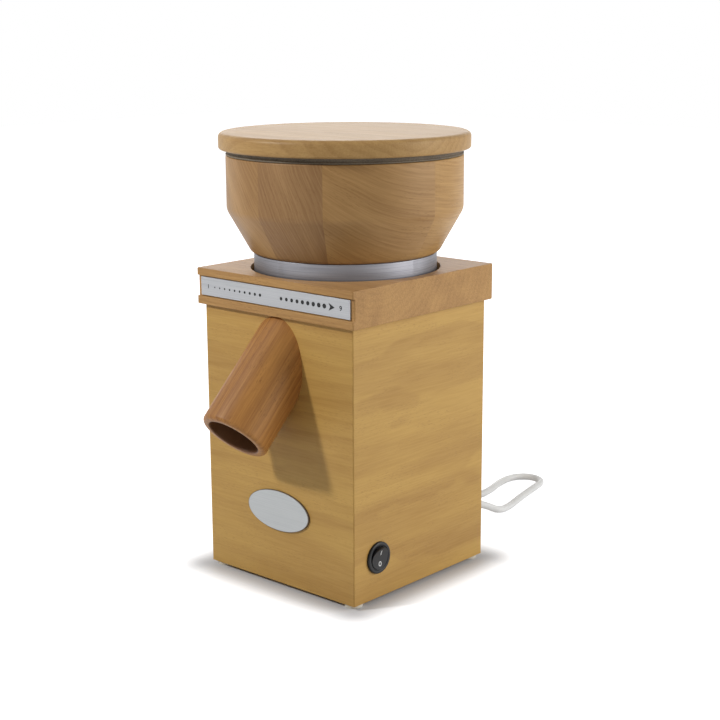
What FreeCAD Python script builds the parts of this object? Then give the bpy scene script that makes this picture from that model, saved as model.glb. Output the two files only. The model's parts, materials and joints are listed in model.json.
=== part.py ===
"""Electric grain mill with a wooden casing, a screwed-on wooden hopper and a slanted round spout.

Frame: +Z up, origin on the surface that the mill stands on, below the motor shaft.
The spout points to -Y, the switch is on the +X side and the lead leaves at +Y.
"""
import FreeCAD, Part
import math
import os

import Sketcher

Vector = FreeCAD.Vector
X_AXIS = Vector(1, 0, 0)
Y_AXIS = Vector(0, 1, 0)
Z_AXIS = Vector(0, 0, 1)

doc = FreeCAD.newDocument("GrainMill")
sheet = doc.addObject("Spreadsheet::Sheet", "Sizes")

# Driving dimensions in millimetres and degrees, or plain counts
SIZES = {
    # Casing of mitred boards
    "case_side": 145,
    "case_height": 198,
    "board": 12,
    "foot_height": 3,
    "foot_radius": 6.5,
    "foot_inset": 7.5,
    "foot_recess": 1.2,
    "base_thickness": 10,
    "post_side": 8,
    "post_start": 48,
    "vent_count": 7,
    "vent_width": 4,
    "vent_height": 40,
    "vent_spacing": 10,
    "vent_start": 70,
    # Cover board with its recess for the hopper
    "cover_overhang": 4,
    "cover_thickness": 26.5,
    "cover_round": 1,
    "recess_radius": 69,
    "recess_depth": 12,
    "groove_height": 15,
    "groove_depth": 2,
    "groove_start": 6,
    "plate_length": 146,
    "plate_height": 13.5,
    "plate_thickness": 1.2,
    # Oval badge plate on the front
    "badge_length": 61,
    "badge_height": 30,
    "badge_thickness": 1.5,
    "badge_centre": 58,
    # Flour spout
    "spout_radius": 25,
    "spout_bore": 19,
    "spout_angle": 45,
    "spout_centre": 165,
    "spout_reach": 61.5,
    "spout_round": 3,
    # Round rocker switch
    "switch_inset": 25,
    "switch_height": 33,
    "bezel_radius": 11.6,
    "bezel_thickness": 2,
    "switch_barrel": 10,
    "switch_length": 24,
    "rocker_radius": 8.2,
    "rocker_depth": 5,
    "rocker_gap": 0.3,
    "rocker_rise": 1.6,
    "rocker_valley": 1.4,
    "rocker_floor": 1.5,
    "rocker_tilt": 8,
    "blade_width": 6.3,
    "blade_thickness": 0.8,
    "blade_length": 8,
    "blade_inset": 5,
    "blade_offset": 3.5,
    # Milling chamber
    "chamber_bore": 50,
    "chamber_wall": 6,
    "chamber_height": 50.5,
    "chamber_floor": 4,
    "neck_height": 15,
    "neck_bore": 38,
    "neck_wall": 8,
    "flange_thickness": 2,
    "thread_radius": 61.9,
    "thread_wall": 6,
    "thread_height": 8,
    "board_fit": 0.3,
    # Millstones and what carries them
    "stone_radius": 42,
    "stone_thickness": 18,
    "stone_gap": 0.2,
    "lower_eye": 14,
    "upper_eye": 16,
    "eye_flare": 6,
    "holder_radius": 46,
    "holder_thickness": 4,
    "holder_arm": 4,
    "ear_place": 51.5,
    "ear_radius": 3.2,
    "pocket_radius": 3.5,
    "pocket_depth": 13.5,
    "spring_radius": 2.5,
    "spring_wire": 0.4,
    "spring_turns": 5,
    "spring_play": 0.05,
    "slip_radius": 40,
    "slip_thickness": 5,
    "slip_gap": 0.1,
    "disc_thickness": 6,
    "vane_height": 3,
    "vane_count": 6,
    "vane_wall": 3,
    "floor_gap": 0.8,
    "disc_rim": 2,
    "hub_radius": 12,
    "nut_radius": 11,
    "nut_height": 7,
    # Motor
    "shaft_radius": 7.5,
    "shaft_fit": 0.05,
    "bearing_radius": 17.5,
    "bearing_height": 11,
    "shield_thickness": 5,
    "shield_hub": 4.5,
    "motor_radius": 54.5,
    "motor_wall": 2.5,
    "motor_length": 84,
    "stator_bore": 29.5,
    "stator_length": 46,
    "winding_height": 12,
    "winding_inner": 31,
    "winding_outer": 47,
    "air_gap": 0.5,
    "rotor_overhang": 2,
    "shaft_tail": 1,
    "shaft_head": 2,
    "overlap": 1,
    "fan_radius": 46,
    "fan_height": 12,
    "fan_blades": 8,
    "fan_drop": 2,
    "blade_wall": 2,
    "seal_radius": 14,
    # Collar and hopper bowl
    "collar_radius": 66.5,
    "collar_fit": 0.08,
    "collar_drop": 10.5,
    "collar_show": 11.2,
    "web_gap": 0.5,
    "throat_radius": 18,
    "throat_mouth": 24,
    "bowl_radius": 85.5,
    "bowl_height": 70,
    "bowl_bend": 31.3,
    "bowl_foot": 68,
    "bowl_round": 3,
    "bowl_inside": 74,
    "bowl_funnel": 46,
    "guard_radius": 30,
    "guard_thickness": 2,
    "guard_holes": 6,
    "guard_hole": 5,
    "guard_circle": 15,
    # Lid
    "lid_radius": 90.5,
    "lid_thickness": 12,
    "lid_round": 3.5,
    "lid_gap": 0.3,
    "lid_seal": 4,
    "spigot_depth": 6,
    "spigot_play": 0.7,
    # Electrical pieces inside
    "capacitor_radius": 12.5,
    "capacitor_length": 60,
    "capacitor_place": 42,
    "block_length": 30,
    "block_width": 14,
    "block_height": 12,
    "clip_wall": 1,
    "clip_width": 10,
    "clip_foot": 22,
    # Screws: head radius, shank radius and length of each kind
    "foot_head": 3,
    "foot_shank": 1.5,
    "foot_screw": 16,
    "cover_head": 3.2,
    "cover_shank": 1.75,
    "cover_screw": 30,
    "cover_screw_circle": 65.6,
    "ring_head": 2.4,
    "ring_shank": 1.4,
    "ring_screw": 22,
    "ring_screw_circle": 59.1,
    "collar_head": 3.4,
    "collar_shank": 1.8,
    "collar_screw": 26,
    "collar_screw_circle": 50,
    "bolt_head": 3.9,
    "bolt_shank": 2.2,
    # Lead and plug
    "cord_radius": 3,
    "gland_place": 30,
    "gland_height": 22,
    "gland_barrel": 6.2,
    "gland_flange": 9,
    "gland_flange_thickness": 3,
    "gland_nut": 5,
    "relief_length": 32.5,
    "relief_start": 6.5,
    "relief_end": 4.2,
    "coil_radius": 42,
    "coil_pitch": 6.6,
    "coil_half_turns": 5,
    "tie_width": 4,
    "tie_thickness": 0.8,
    "tie_play": 0.6,
    "plug_radius": 18.5,
    "plug_length": 34,
    "plug_sleeve": 25,
    "plug_sleeve_radius": 5.5,
    "plug_shoulder": 11.1,
    "plug_round": 1.5,
    "pin_radius": 2.4,
    "pin_length": 19,
    "pin_spacing": 19,
}
for row, (alias, number) in enumerate(SIZES.items(), start=1):
    sheet.set(f"A{row}", alias)
    sheet.set(f"B{row}", str(number))
    sheet.setAlias(f"B{row}", alias)
doc.recompute()


def size(name):
    """The number in one cell of the sheet."""
    return float(sheet.get(name))


def cells(text):
    """A formula over cell names, as the expression that the document binds."""
    words = []
    word = ""
    for letter in text + " ":
        if letter.isalnum() or letter == "_":
            word += letter
            continue
        words.append("Sizes." + word if word in SIZES else word)
        words.append(letter)
        word = ""
    return "".join(words).strip()


def number(text):
    """The value of a formula over cell names."""
    return float(sheet.evalExpression(cells(text)))


# Heights that several pieces share, as formulas over the cells
CASE_TOP = "(foot_height + case_height)"
COVER_TOP = "(foot_height + case_height + cover_thickness)"
RECESS_FLOOR = f"({COVER_TOP} - recess_depth)"
FLANGE_TOP = f"({RECESS_FLOOR} + flange_thickness)"
THREAD_TOP = f"({FLANGE_TOP} + thread_height)"
WEB_BOTTOM = f"({THREAD_TOP} + web_gap)"
COLLAR_TOP = f"({COVER_TOP} + collar_show)"
BOWL_TOP = f"({COLLAR_TOP} + bowl_height)"
SEAL_BOTTOM = f"({BOWL_TOP} + lid_gap)"
LID_BOTTOM = f"({SEAL_BOTTOM} + lid_seal)"
SLIP_TOP = f"({WEB_BOTTOM} - slip_gap)"
SLIP_BOTTOM = f"({SLIP_TOP} - slip_thickness)"
HOLDER_TOP = f"({SLIP_BOTTOM} - slip_gap)"
HOLDER_BOTTOM = f"({HOLDER_TOP} - holder_thickness)"
UPPER_STONE_BOTTOM = f"({HOLDER_BOTTOM} - stone_thickness)"
LOWER_STONE_TOP = f"({UPPER_STONE_BOTTOM} - stone_gap)"
DISC_TOP = f"({LOWER_STONE_TOP} - stone_thickness)"
DISC_BOTTOM = f"({DISC_TOP} - disc_thickness)"
CHAMBER_BOTTOM = f"({RECESS_FLOOR} - chamber_height)"
CHAMBER_INSIDE = f"({CHAMBER_BOTTOM} + chamber_floor)"
MOTOR_TOP = f"({CHAMBER_BOTTOM} - neck_height)"
UPPER_SHIELD = f"({MOTOR_TOP} - shield_thickness)"
MOTOR_FOOT = f"({UPPER_SHIELD} - motor_length)"
LOWER_SHIELD = f"({MOTOR_FOOT} - shield_thickness)"
STATOR_FOOT = f"({MOTOR_FOOT} + (motor_length - stator_length) / 2)"
STATOR_TOP = f"({STATOR_FOOT} + stator_length)"
FAN_TOP = f"({LOWER_SHIELD} - fan_drop)"
FAN_FOOT = f"({FAN_TOP} - fan_height)"
BASE_TOP = "(foot_height + base_thickness)"
HALF = "(case_side / 2)"
INSIDE = "(case_side / 2 - board)"
COVER_HALF = "(case_side / 2 + cover_overhang)"
CHAMBER_RADIUS = "(chamber_bore + chamber_wall)"

CORNERS = [(1, -1), (1, 1), (-1, 1), (-1, -1)]
SPRINGS = 3

nodes = {}


def bind(obj, name, formula):
    """Ties one property of an object to a formula over the cells."""
    obj.setExpression(name, cells(formula))


def place(obj, x="0", y="0", z="0"):
    bind(obj, ".Placement.Base.x", x)
    bind(obj, ".Placement.Base.y", y)
    bind(obj, ".Placement.Base.z", z)


def turn(obj, axis, degrees):
    """Turns an object about an axis through its own origin."""
    obj.Placement = FreeCAD.Placement(obj.Placement.Base, FreeCAD.Rotation(axis, degrees))


def box(name, low, spans):
    """A block from its low corner and its three spans, all as formulas."""
    obj = doc.addObject("Part::Box", name)
    bind(obj, "Length", spans[0])
    bind(obj, "Width", spans[1])
    bind(obj, "Height", spans[2])
    place(obj, *low)
    return obj


def cylinder(name, radius, height, base, axis=None, degrees=0):
    obj = doc.addObject("Part::Cylinder", name)
    bind(obj, "Radius", radius)
    bind(obj, "Height", height)
    if axis is not None:
        turn(obj, axis, degrees)
    place(obj, *base)
    return obj


def cut(name, base, *tools):
    """A piece with one or more tools cut away, in turn."""
    for index, tool in enumerate(tools):
        last = index == len(tools) - 1
        step = doc.addObject("Part::Cut", name if last else f"{name}_step_{index}")
        step.Base = base
        step.Tool = tool
        base = step
    return base


def fuse(name, *pieces):
    joined = doc.addObject("Part::MultiFuse", name)
    joined.Shapes = list(pieces)
    return joined


def common(name, base, tool):
    shared = doc.addObject("Part::Common", name)
    shared.Base = base
    shared.Tool = tool
    return shared


def node(name, obj):
    """Registers a finished sub-part under the name of its file."""
    obj.Label = name
    nodes[name] = obj
    return obj


def group(name, pieces):
    """Several equal solids under one name."""
    joined = doc.addObject("Part::Compound", name)
    joined.Links = pieces
    return joined


def origin_plane(body, role):
    return next(item for item in body.Origin.OriginFeatures if item.Role == role)


def outline(sketch, corners):
    """A closed outline of straight lines whose corners are tied to formulas."""
    points = [Vector(number(across), number(up), 0) for across, up in corners]
    count = len(points)
    for index in range(count):
        sketch.addGeometry(Part.LineSegment(points[index], points[(index + 1) % count]), False)
    for index in range(count):
        sketch.addConstraint(Sketcher.Constraint("Coincident", index, 2, (index + 1) % count, 1))
    for index, (across, up) in enumerate(corners):
        for kind, formula, start in (
            ("DistanceX", across, points[index].x),
            ("DistanceY", up, points[index].y),
        ):
            row = sketch.addConstraint(Sketcher.Constraint(kind, -1, 1, index, 1, start))
            sketch.setExpression(f"Constraints[{row}]", cells(formula))


def sketch_on(body, role, name):
    sketch = body.newObject("Sketcher::SketchObject", name)
    sketch.AttachmentSupport = [(origin_plane(body, role), "")]
    sketch.MapMode = "FlatFace"
    return sketch


def turned(name, corners):
    """A body turned about its Z axis from corners (radius, height)."""
    body = doc.addObject("PartDesign::Body", name)
    sketch = sketch_on(body, "XZ_Plane", name + "_profile")
    outline(sketch, corners)
    feature = body.newObject("PartDesign::Revolution", name + "_turned")
    feature.Profile = sketch
    feature.ReferenceAxis = (sketch, ["V_Axis"])
    feature.Angle = 360
    doc.recompute()
    return body


def padded(name, corners, height, low="0"):
    """A body padded upwards from an outline in plan, from the height low."""
    body = doc.addObject("PartDesign::Body", name)
    sketch = sketch_on(body, "XY_Plane", name + "_plan")
    outline(sketch, corners)
    feature = body.newObject("PartDesign::Pad", name + "_pad")
    feature.Profile = sketch
    bind(feature, "Length", height)
    place(body, z=low)
    doc.recompute()
    return body


def rounded(body, name, chosen, radius):
    """Rounds the edges of a body's tip that a test picks out."""
    base = body.Tip
    edges = [f"Edge{index}" for index, edge in enumerate(base.Shape.Edges, start=1) if chosen(edge)]
    feature = body.newObject("PartDesign::Fillet", name)
    feature.Base = (base, edges)
    bind(feature, "Radius", radius)
    doc.recompute()
    return body


def ring_edge(radius, height):
    """A test for the round edge of a turned body at one radius and height."""
    def test(edge):
        curve = edge.Curve
        if not isinstance(curve, Part.Circle):
            return False
        return abs(curve.Radius - number(radius)) < 0.01 and abs(curve.Center.z - number(height)) < 0.01
    return test


def tube(name, inner, outer, low, high):
    return turned(name, [(inner, low), (outer, low), (outer, high), (inner, high)])


def disc(name, radius, low, high):
    return tube(name, "0", radius, low, high)


def solid_feature(name, shape):
    obj = doc.addObject("Part::Feature", name)
    obj.Shape = shape
    return obj


def countersunk(name, head, shank, length, upward=False):
    """A countersunk screw from the flat of its head at height 0, pointing down or up."""
    sign = "" if upward else "-"
    screw = turned(name, [
        ("0", "0"), (head, "0"), (shank, f"{sign}({head} - {shank})"), (shank, f"{sign}{length}"),
        ("0", f"{sign}{length}"),
    ])
    return screw


def on_circle(obj, radius, degrees, z):
    """Puts a piece on a circle about the shaft."""
    angle = math.radians(degrees)
    place(obj, f"{radius} * {math.cos(angle)}", f"{radius} * {math.sin(angle)}", z)


def screw_circle(name, kind, angles, z, upward=False):
    """Equal screws on one circle, as one group."""
    screws = []
    for index, degrees in enumerate(angles, start=1):
        screw = countersunk(f"{name}_{index}", f"{kind}_head", f"{kind}_shank", f"{kind}_screw", upward)
        on_circle(screw, f"{kind}_screw_circle", degrees, z)
        screws.append(screw)
    return group(name, screws)


# The casing: four mitred boards, a base board and four glued corner posts

def mitred_board(name, degrees):
    """One side board in plan, mitred at both ends, turned into its place about Z."""
    corners = [
        (f"-{HALF}", f"-{HALF}"), (HALF, f"-{HALF}"),
        (INSIDE, f"-{INSIDE}"), (f"-{INSIDE}", f"-{INSIDE}"),
    ]
    board = padded(name, corners, "case_height", "foot_height")
    turn(board, Z_AXIS, degrees)
    return board


def casing_screws():
    """The screws that the boards are cut for: one up through each foot, three down through the cover."""
    feet_screws = []
    for index, (side_x, side_y) in enumerate(CORNERS, start=1):
        screw = countersunk(f"foot_screw_{index}", "foot_head", "foot_shank", "foot_screw", upward=True)
        place(screw, f"{side_x} * ({HALF} - foot_inset)", f"{side_y} * ({HALF} - foot_inset)", "foot_recess")
        feet_screws.append(screw)
    node("foot_screws", group("foot_screws", feet_screws))
    node("cover_screws", screw_circle("cover_screws", "cover", (0, 90, 180), RECESS_FLOOR))


def front_panel():
    board = mitred_board("front_board", 0)
    hole = spout_cylinder("front_hole", "spout_radius")
    node("front_panel", cut("front_panel", board, hole, nodes["foot_screws"]))


def right_panel():
    board = mitred_board("right_board", 90)
    hole = cylinder(
        "switch_hole", "switch_barrel", "2 * board",
        (f"{HALF} - 1.5 * board", f"switch_inset - {HALF}", "switch_height"), Y_AXIS, 90,
    )
    node("right_panel", cut("right_panel", board, hole, nodes["foot_screws"], nodes["cover_screws"]))


def rear_panel():
    board = mitred_board("rear_board", 180)
    tools = [cylinder(
        "gland_hole", "gland_barrel", "2 * board",
        ("gland_place", f"{HALF} + board / 2", "gland_height"), X_AXIS, 90,
    )]
    count = int(size("vent_count"))
    for index in range(count):
        across = f"({index} - (vent_count - 1) / 2) * vent_spacing - vent_width / 2"
        tools.append(box(
            f"rear_vent_{index + 1}", (across, f"{HALF} - 1.5 * board", "vent_start"),
            ("vent_width", "2 * board", "vent_height"),
        ))
    node("rear_panel", cut("rear_panel", board, *tools, nodes["foot_screws"], nodes["cover_screws"]))


def left_panel():
    board = mitred_board("left_board", -90)
    node("left_panel", cut("left_panel", board, nodes["foot_screws"], nodes["cover_screws"]))


def base_board():
    board = box(
        "base_blank", (f"-{INSIDE}", f"-{INSIDE}", "foot_height"),
        (f"2 * {INSIDE}", f"2 * {INSIDE}", "base_thickness"),
    )
    tools = []
    count = int(size("vent_count"))
    for index in range(count):
        across = f"({index} - (vent_count - 1) / 2) * vent_spacing - vent_width / 2"
        tools.append(box(
            f"base_vent_{index + 1}", (across, "-vent_height / 2", "0"),
            ("vent_width", "vent_height", f"2 * {BASE_TOP}"),
        ))
    node("base_board", cut("base_board", board, *tools))


def corner_posts():
    """Square posts glued into the inside corners of the boards, under the cover."""
    posts = []
    for index, (side_x, side_y) in enumerate(CORNERS, start=1):
        low_x = f"{INSIDE} - post_side" if side_x > 0 else f"-{INSIDE}"
        low_y = f"{INSIDE} - post_side" if side_y > 0 else f"-{INSIDE}"
        post = box(
            f"corner_post_{index}", (low_x, low_y, "post_start"),
            ("post_side", "post_side", f"{CASE_TOP} - post_start"),
        )
        posts.append(post)
    node("corner_posts", group("corner_posts", posts))


def feet():
    """Small round feet below the corners, with a rounded lower edge and a recess for a screw."""
    cups = []
    for index, (side_x, side_y) in enumerate(CORNERS, start=1):
        foot = turned(f"foot_{index}", [
            ("foot_head", "0"), ("foot_radius", "0"),
            ("foot_radius", "foot_height"), ("foot_shank", "foot_height"),
            ("foot_shank", "foot_recess + foot_head - foot_shank"), ("foot_head", "foot_recess"),
        ])
        rounded(foot, f"foot_{index}_edge", ring_edge("foot_radius", "0"), "foot_height / 4")
        place(foot, f"{side_x} * ({HALF} - foot_inset)", f"{side_y} * ({HALF} - foot_inset)")
        cups.append(foot)
    node("feet", group("feet", cups))


# The cover board, its groove and scale plate, and the badge plate

def upright_edge(edge):
    """A test for a straight edge along Z."""
    ends = [vertex.Point for vertex in edge.Vertexes]
    return len(ends) == 2 and (ends[1] - ends[0]).cross(Z_AXIS).Length < 0.001


def top_cover():
    corners = [
        (f"-{COVER_HALF}", f"-{COVER_HALF}"), (COVER_HALF, f"-{COVER_HALF}"),
        (COVER_HALF, COVER_HALF), (f"-{COVER_HALF}", COVER_HALF),
    ]
    board = padded("cover_board", corners, "cover_thickness", CASE_TOP)
    rounded(board, "cover_corners", upright_edge, "cover_round")
    recess = cylinder("cover_recess", "recess_radius", "2 * recess_depth", ("0", "0", RECESS_FLOOR))
    passage = cylinder(
        "cover_passage", f"{CHAMBER_RADIUS} + board_fit", "2 * cover_thickness",
        ("0", "0", f"{CASE_TOP} - cover_thickness / 2"),
    )
    groove = box(
        "cover_groove",
        (f"-1.5 * {COVER_HALF}", f"-{COVER_HALF} - groove_depth", f"{CASE_TOP} + groove_start"),
        (f"3 * {COVER_HALF}", "2 * groove_depth", "groove_height"),
    )
    node("ring_screws", screw_circle("ring_screws", "ring", range(0, 360, 60), THREAD_TOP))
    tools = [recess, passage, groove, nodes["cover_screws"], nodes["ring_screws"]]
    node("top_cover", cut("top_cover", board, *tools))


def scale_plate():
    """The thin metal plate that lies in the groove across the cover's front."""
    plate = box(
        "scale_plate",
        ("-plate_length / 2", f"groove_depth - {COVER_HALF} - plate_thickness",
         f"{CASE_TOP} + groove_start + (groove_height - plate_height) / 2"),
        ("plate_length", "plate_thickness", "plate_height"),
    )
    node("scale_plate", plate)


def badge_plate():
    """A bare oval plate on the front board."""
    face = doc.addObject("Part::Ellipse", "badge_outline")
    bind(face, "MajorRadius", "badge_length / 2")
    bind(face, "MinorRadius", "badge_height / 2")
    turn(face, X_AXIS, 90)
    place(face, "0", f"-{HALF}", "badge_centre")
    plate = doc.addObject("Part::Extrusion", "badge_plate")
    plate.Base = face
    plate.Dir = -Y_AXIS
    plate.DirMode = "Custom"
    plate.Solid = True
    bind(plate, "LengthFwd", "badge_thickness")
    node("badge_plate", plate)


# The spout: a turned tube let into the front board and cut flush under the cover

SPOUT_BACK = "(3 * board)"


def spout_cylinder(name, radius, length=f"{SPOUT_BACK} + spout_reach", back=SPOUT_BACK):
    """A cylinder along the spout's axis, which slants forward and down from the chamber."""
    obj = doc.addObject("Part::Cylinder", name)
    bind(obj, "Radius", radius)
    bind(obj, "Height", length)
    obj.Placement.Rotation = FreeCAD.Rotation(X_AXIS, 90 + size("spout_angle"))
    obj.setExpression(".Placement.Rotation.Angle", cells("90 + spout_angle"))
    place(
        obj, "0", f"{back} * cos(spout_angle * 1 deg) - {HALF}",
        f"spout_centre + {back} * sin(spout_angle * 1 deg)",
    )
    return obj


def outer_end_edge(shape, radius, end):
    """The number of the round edge at the open end of the spout."""
    for index, edge in enumerate(shape.Edges, start=1):
        curve = edge.Curve
        if isinstance(curve, Part.Circle) and (curve.Center - end).Length < 0.01:
            if abs(curve.Radius - radius) < 0.01:
                return index
    raise ValueError("the spout has no outer end edge")


def spout_tube():
    outside = spout_cylinder("spout_outside", "spout_radius")
    doc.recompute()
    slope = math.radians(size("spout_angle"))
    along = Vector(0, -math.cos(slope), -math.sin(slope))
    end = Vector(0, -size("case_side") / 2, size("spout_centre")) + along * size("spout_reach")
    soft = doc.addObject("Part::Fillet", "spout_edge")
    soft.Base = outside
    round_size = min(size("spout_round"), 0.6 * (size("spout_radius") - size("spout_bore")))
    soft.Edges = [(outer_end_edge(outside.Shape, size("spout_radius"), end), round_size, round_size)]
    bore = spout_cylinder("spout_hole", "spout_bore", f"2 * {SPOUT_BACK} + 2 * spout_reach")
    above = box(
        "spout_above", (f"-{HALF}", f"-{HALF} - board", CASE_TOP),
        ("case_side", "case_side", "case_side"),
    )
    chamber = cylinder(
        "spout_seat", f"{CHAMBER_RADIUS}", "case_height", ("0", "0", f"{CHAMBER_BOTTOM} - case_height / 2"),
    )
    node("spout_tube", cut("spout_tube", soft, bore, above, chamber))


# The round rocker switch on the right board

def on_right_board(obj):
    """Stands a piece turned about Z on the right board, with its Z axis pointing outward."""
    turn(obj, Y_AXIS, 90)
    place(obj, HALF, f"switch_inset - {HALF}", "switch_height")


def switch_housing():
    cup = "(rocker_depth + rocker_floor)"
    body = turned("switch_housing", [
        ("0", "-switch_length"), ("switch_barrel", "-switch_length"), ("switch_barrel", "0"),
        ("bezel_radius", "0"), ("bezel_radius", "bezel_thickness"),
        ("rocker_radius + rocker_gap", "bezel_thickness"),
        ("rocker_radius + rocker_gap", f"bezel_thickness - {cup}"), ("0", f"bezel_thickness - {cup}"),
    ])
    rounded(body, "bezel_edge", ring_edge("bezel_radius", "bezel_thickness"), "bezel_thickness / 2")
    on_right_board(body)
    node("switch_housing", body)


def switch_rocker():
    """The tilting button: a disc whose sides are cut so that it can rock in its cup."""
    button = cylinder(
        "rocker_blank", "rocker_radius", "rocker_depth + rocker_rise",
        ("0", "0", "bezel_thickness - rocker_depth"),
    )
    ball = doc.addObject("Part::Sphere", "rocker_ball")
    bind(ball, "Radius", "rocker_radius")
    place(ball, z="bezel_thickness")
    rocker = common("rocker_round", button, ball)
    valley = cylinder(
        "rocker_valley", "3 * rocker_radius", "4 * rocker_radius",
        ("0", "2 * rocker_radius", "bezel_thickness + 3 * rocker_radius + rocker_rise - rocker_valley"),
        X_AXIS, 90,
    )
    shaped = cut("switch_rocker", rocker, valley)
    tilt = size("rocker_tilt")
    turn(shaped, Y_AXIS, 90 + tilt)
    shaped.setExpression(".Placement.Rotation.Angle", cells("90 + rocker_tilt"))
    place(
        shaped, f"{HALF} + bezel_thickness * (1 - cos(rocker_tilt * 1 deg))", f"switch_inset - {HALF}",
        "switch_height + bezel_thickness * sin(rocker_tilt * 1 deg)",
    )
    node("switch_rocker", shaped)


def switch_terminals():
    """Three flat blades behind the switch."""
    blades = []
    for index, (across, up) in enumerate(((-1, -1), (-1, 1), (1, 0)), start=1):
        blade = box(
            f"switch_blade_{index}",
            (f"{up} * blade_offset - blade_thickness / 2", f"{across} * blade_inset - blade_width / 2",
             "-switch_length - blade_length"),
            ("blade_thickness", "blade_width", "blade_length"),
        )
        blades.append(blade)
    terminals = group("switch_terminals", blades)
    on_right_board(terminals)
    node("switch_terminals", terminals)


# The milling chamber, its fixed thread and the felt seal

def radial(count, index, start=90):
    return math.radians(start + 360 * index / count)


def mill_chamber():
    """A cast cup hung in the cover, with a neck for the motor below and a port to the spout."""
    cup = turned("chamber_turned", [
        ("seal_radius", CHAMBER_BOTTOM), ("neck_bore", CHAMBER_BOTTOM), ("neck_bore", MOTOR_TOP),
        ("neck_bore + neck_wall", MOTOR_TOP), ("neck_bore + neck_wall", CHAMBER_BOTTOM),
        (CHAMBER_RADIUS, CHAMBER_BOTTOM), (CHAMBER_RADIUS, RECESS_FLOOR),
        ("thread_radius", RECESS_FLOOR), ("thread_radius", FLANGE_TOP),
        ("chamber_bore", FLANGE_TOP), ("chamber_bore", CHAMBER_INSIDE), ("seal_radius", CHAMBER_INSIDE),
    ])
    port = spout_cylinder("chamber_port_slope", "spout_bore", "4 * board", "(4 * board)")
    below = box(
        "chamber_port_limit", (f"-{HALF}", f"-{HALF}", CHAMBER_INSIDE),
        ("case_side", "case_side / 2", f"{CASE_TOP} - {CHAMBER_INSIDE} - board_fit"),
    )
    tools = [common("chamber_port", port, below)]
    for index in range(SPRINGS):
        angle = radial(SPRINGS, index)
        tools.append(cylinder(
            f"spring_pocket_{index + 1}", "pocket_radius", "2 * pocket_depth",
            (
                f"ear_place * {math.cos(angle)}", f"ear_place * {math.sin(angle)}",
                f"{FLANGE_TOP} - pocket_depth",
            ),
        ))
    bolts = []
    for index, degrees in enumerate((45, 135, 225, 315), start=1):
        bolt = countersunk(
            f"motor_bolt_{index}", "bolt_head", "bolt_shank", f"({CHAMBER_INSIDE} - {UPPER_SHIELD})",
        )
        on_circle(bolt, "(neck_bore + neck_wall / 2)", degrees, CHAMBER_INSIDE)
        bolts.append(bolt)
    node("motor_bolts", group("motor_bolts", bolts))
    node("mill_chamber", cut("mill_chamber", cup, *tools, nodes["motor_bolts"], nodes["ring_screws"]))


def thread_ring():
    ring = tube("thread_blank", "thread_radius - thread_wall", "thread_radius", FLANGE_TOP, THREAD_TOP)
    node("thread_ring", cut("thread_ring", ring, nodes["ring_screws"]))


def shaft_seal():
    seal = tube("shaft_seal", "shaft_radius + shaft_fit", "seal_radius", CHAMBER_BOTTOM, CHAMBER_INSIDE)
    node("shaft_seal", seal)


# The stones: the lower one turns with the motor, the upper one is held and springs up

def stone_rotor():
    """The driven disc below the lower stone, with vanes that sweep the meal to the port."""
    wheel = turned("rotor_disc", [
        ("shaft_radius", f"{CHAMBER_INSIDE} + floor_gap"), ("hub_radius", f"{CHAMBER_INSIDE} + floor_gap"),
        ("hub_radius", DISC_BOTTOM), ("stone_radius + disc_rim", DISC_BOTTOM),
        ("stone_radius + disc_rim", DISC_TOP), ("shaft_radius", DISC_TOP),
    ])
    pieces = [wheel]
    count = int(size("vane_count"))
    for index in range(count):
        vane = box(
            f"rotor_vane_{index + 1}", ("0", "0", f"{DISC_BOTTOM} - vane_height"),
            ("stone_radius + disc_rim - hub_radius", "vane_wall", "vane_height + overlap"),
        )
        angle = math.degrees(radial(count, index))
        turn(vane, Z_AXIS, angle)
        cosine = math.cos(math.radians(angle))
        sine = math.sin(math.radians(angle))
        place(
            vane, f"(hub_radius - overlap) * {cosine} + vane_wall / 2 * {sine}",
            f"(hub_radius - overlap) * {sine} - vane_wall / 2 * {cosine}",
            f"{DISC_BOTTOM} - vane_height",
        )
        pieces.append(vane)
    node("stone_rotor", fuse("stone_rotor", *pieces))


def stones():
    lower = tube("lower_stone", "lower_eye", "stone_radius", DISC_TOP, LOWER_STONE_TOP)
    node("lower_stone", lower)
    upper = turned("upper_stone", [
        ("upper_eye", f"{UPPER_STONE_BOTTOM} + stone_thickness / 3"),
        ("upper_eye + eye_flare", UPPER_STONE_BOTTOM), ("stone_radius", UPPER_STONE_BOTTOM),
        ("stone_radius", HOLDER_BOTTOM), ("upper_eye", HOLDER_BOTTOM),
    ])
    node("upper_stone", upper)


def stone_nut():
    blank = doc.addObject("Part::Prism", "nut_blank")
    blank.Polygon = 6
    bind(blank, "Circumradius", "nut_radius")
    bind(blank, "Height", "nut_height")
    place(blank, z=DISC_TOP)
    hole = cylinder("nut_hole", "shaft_radius", "2 * nut_height", ("0", "0", f"{DISC_TOP} - nut_height / 2"))
    node("stone_nut", cut("stone_nut", blank, hole))


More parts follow.
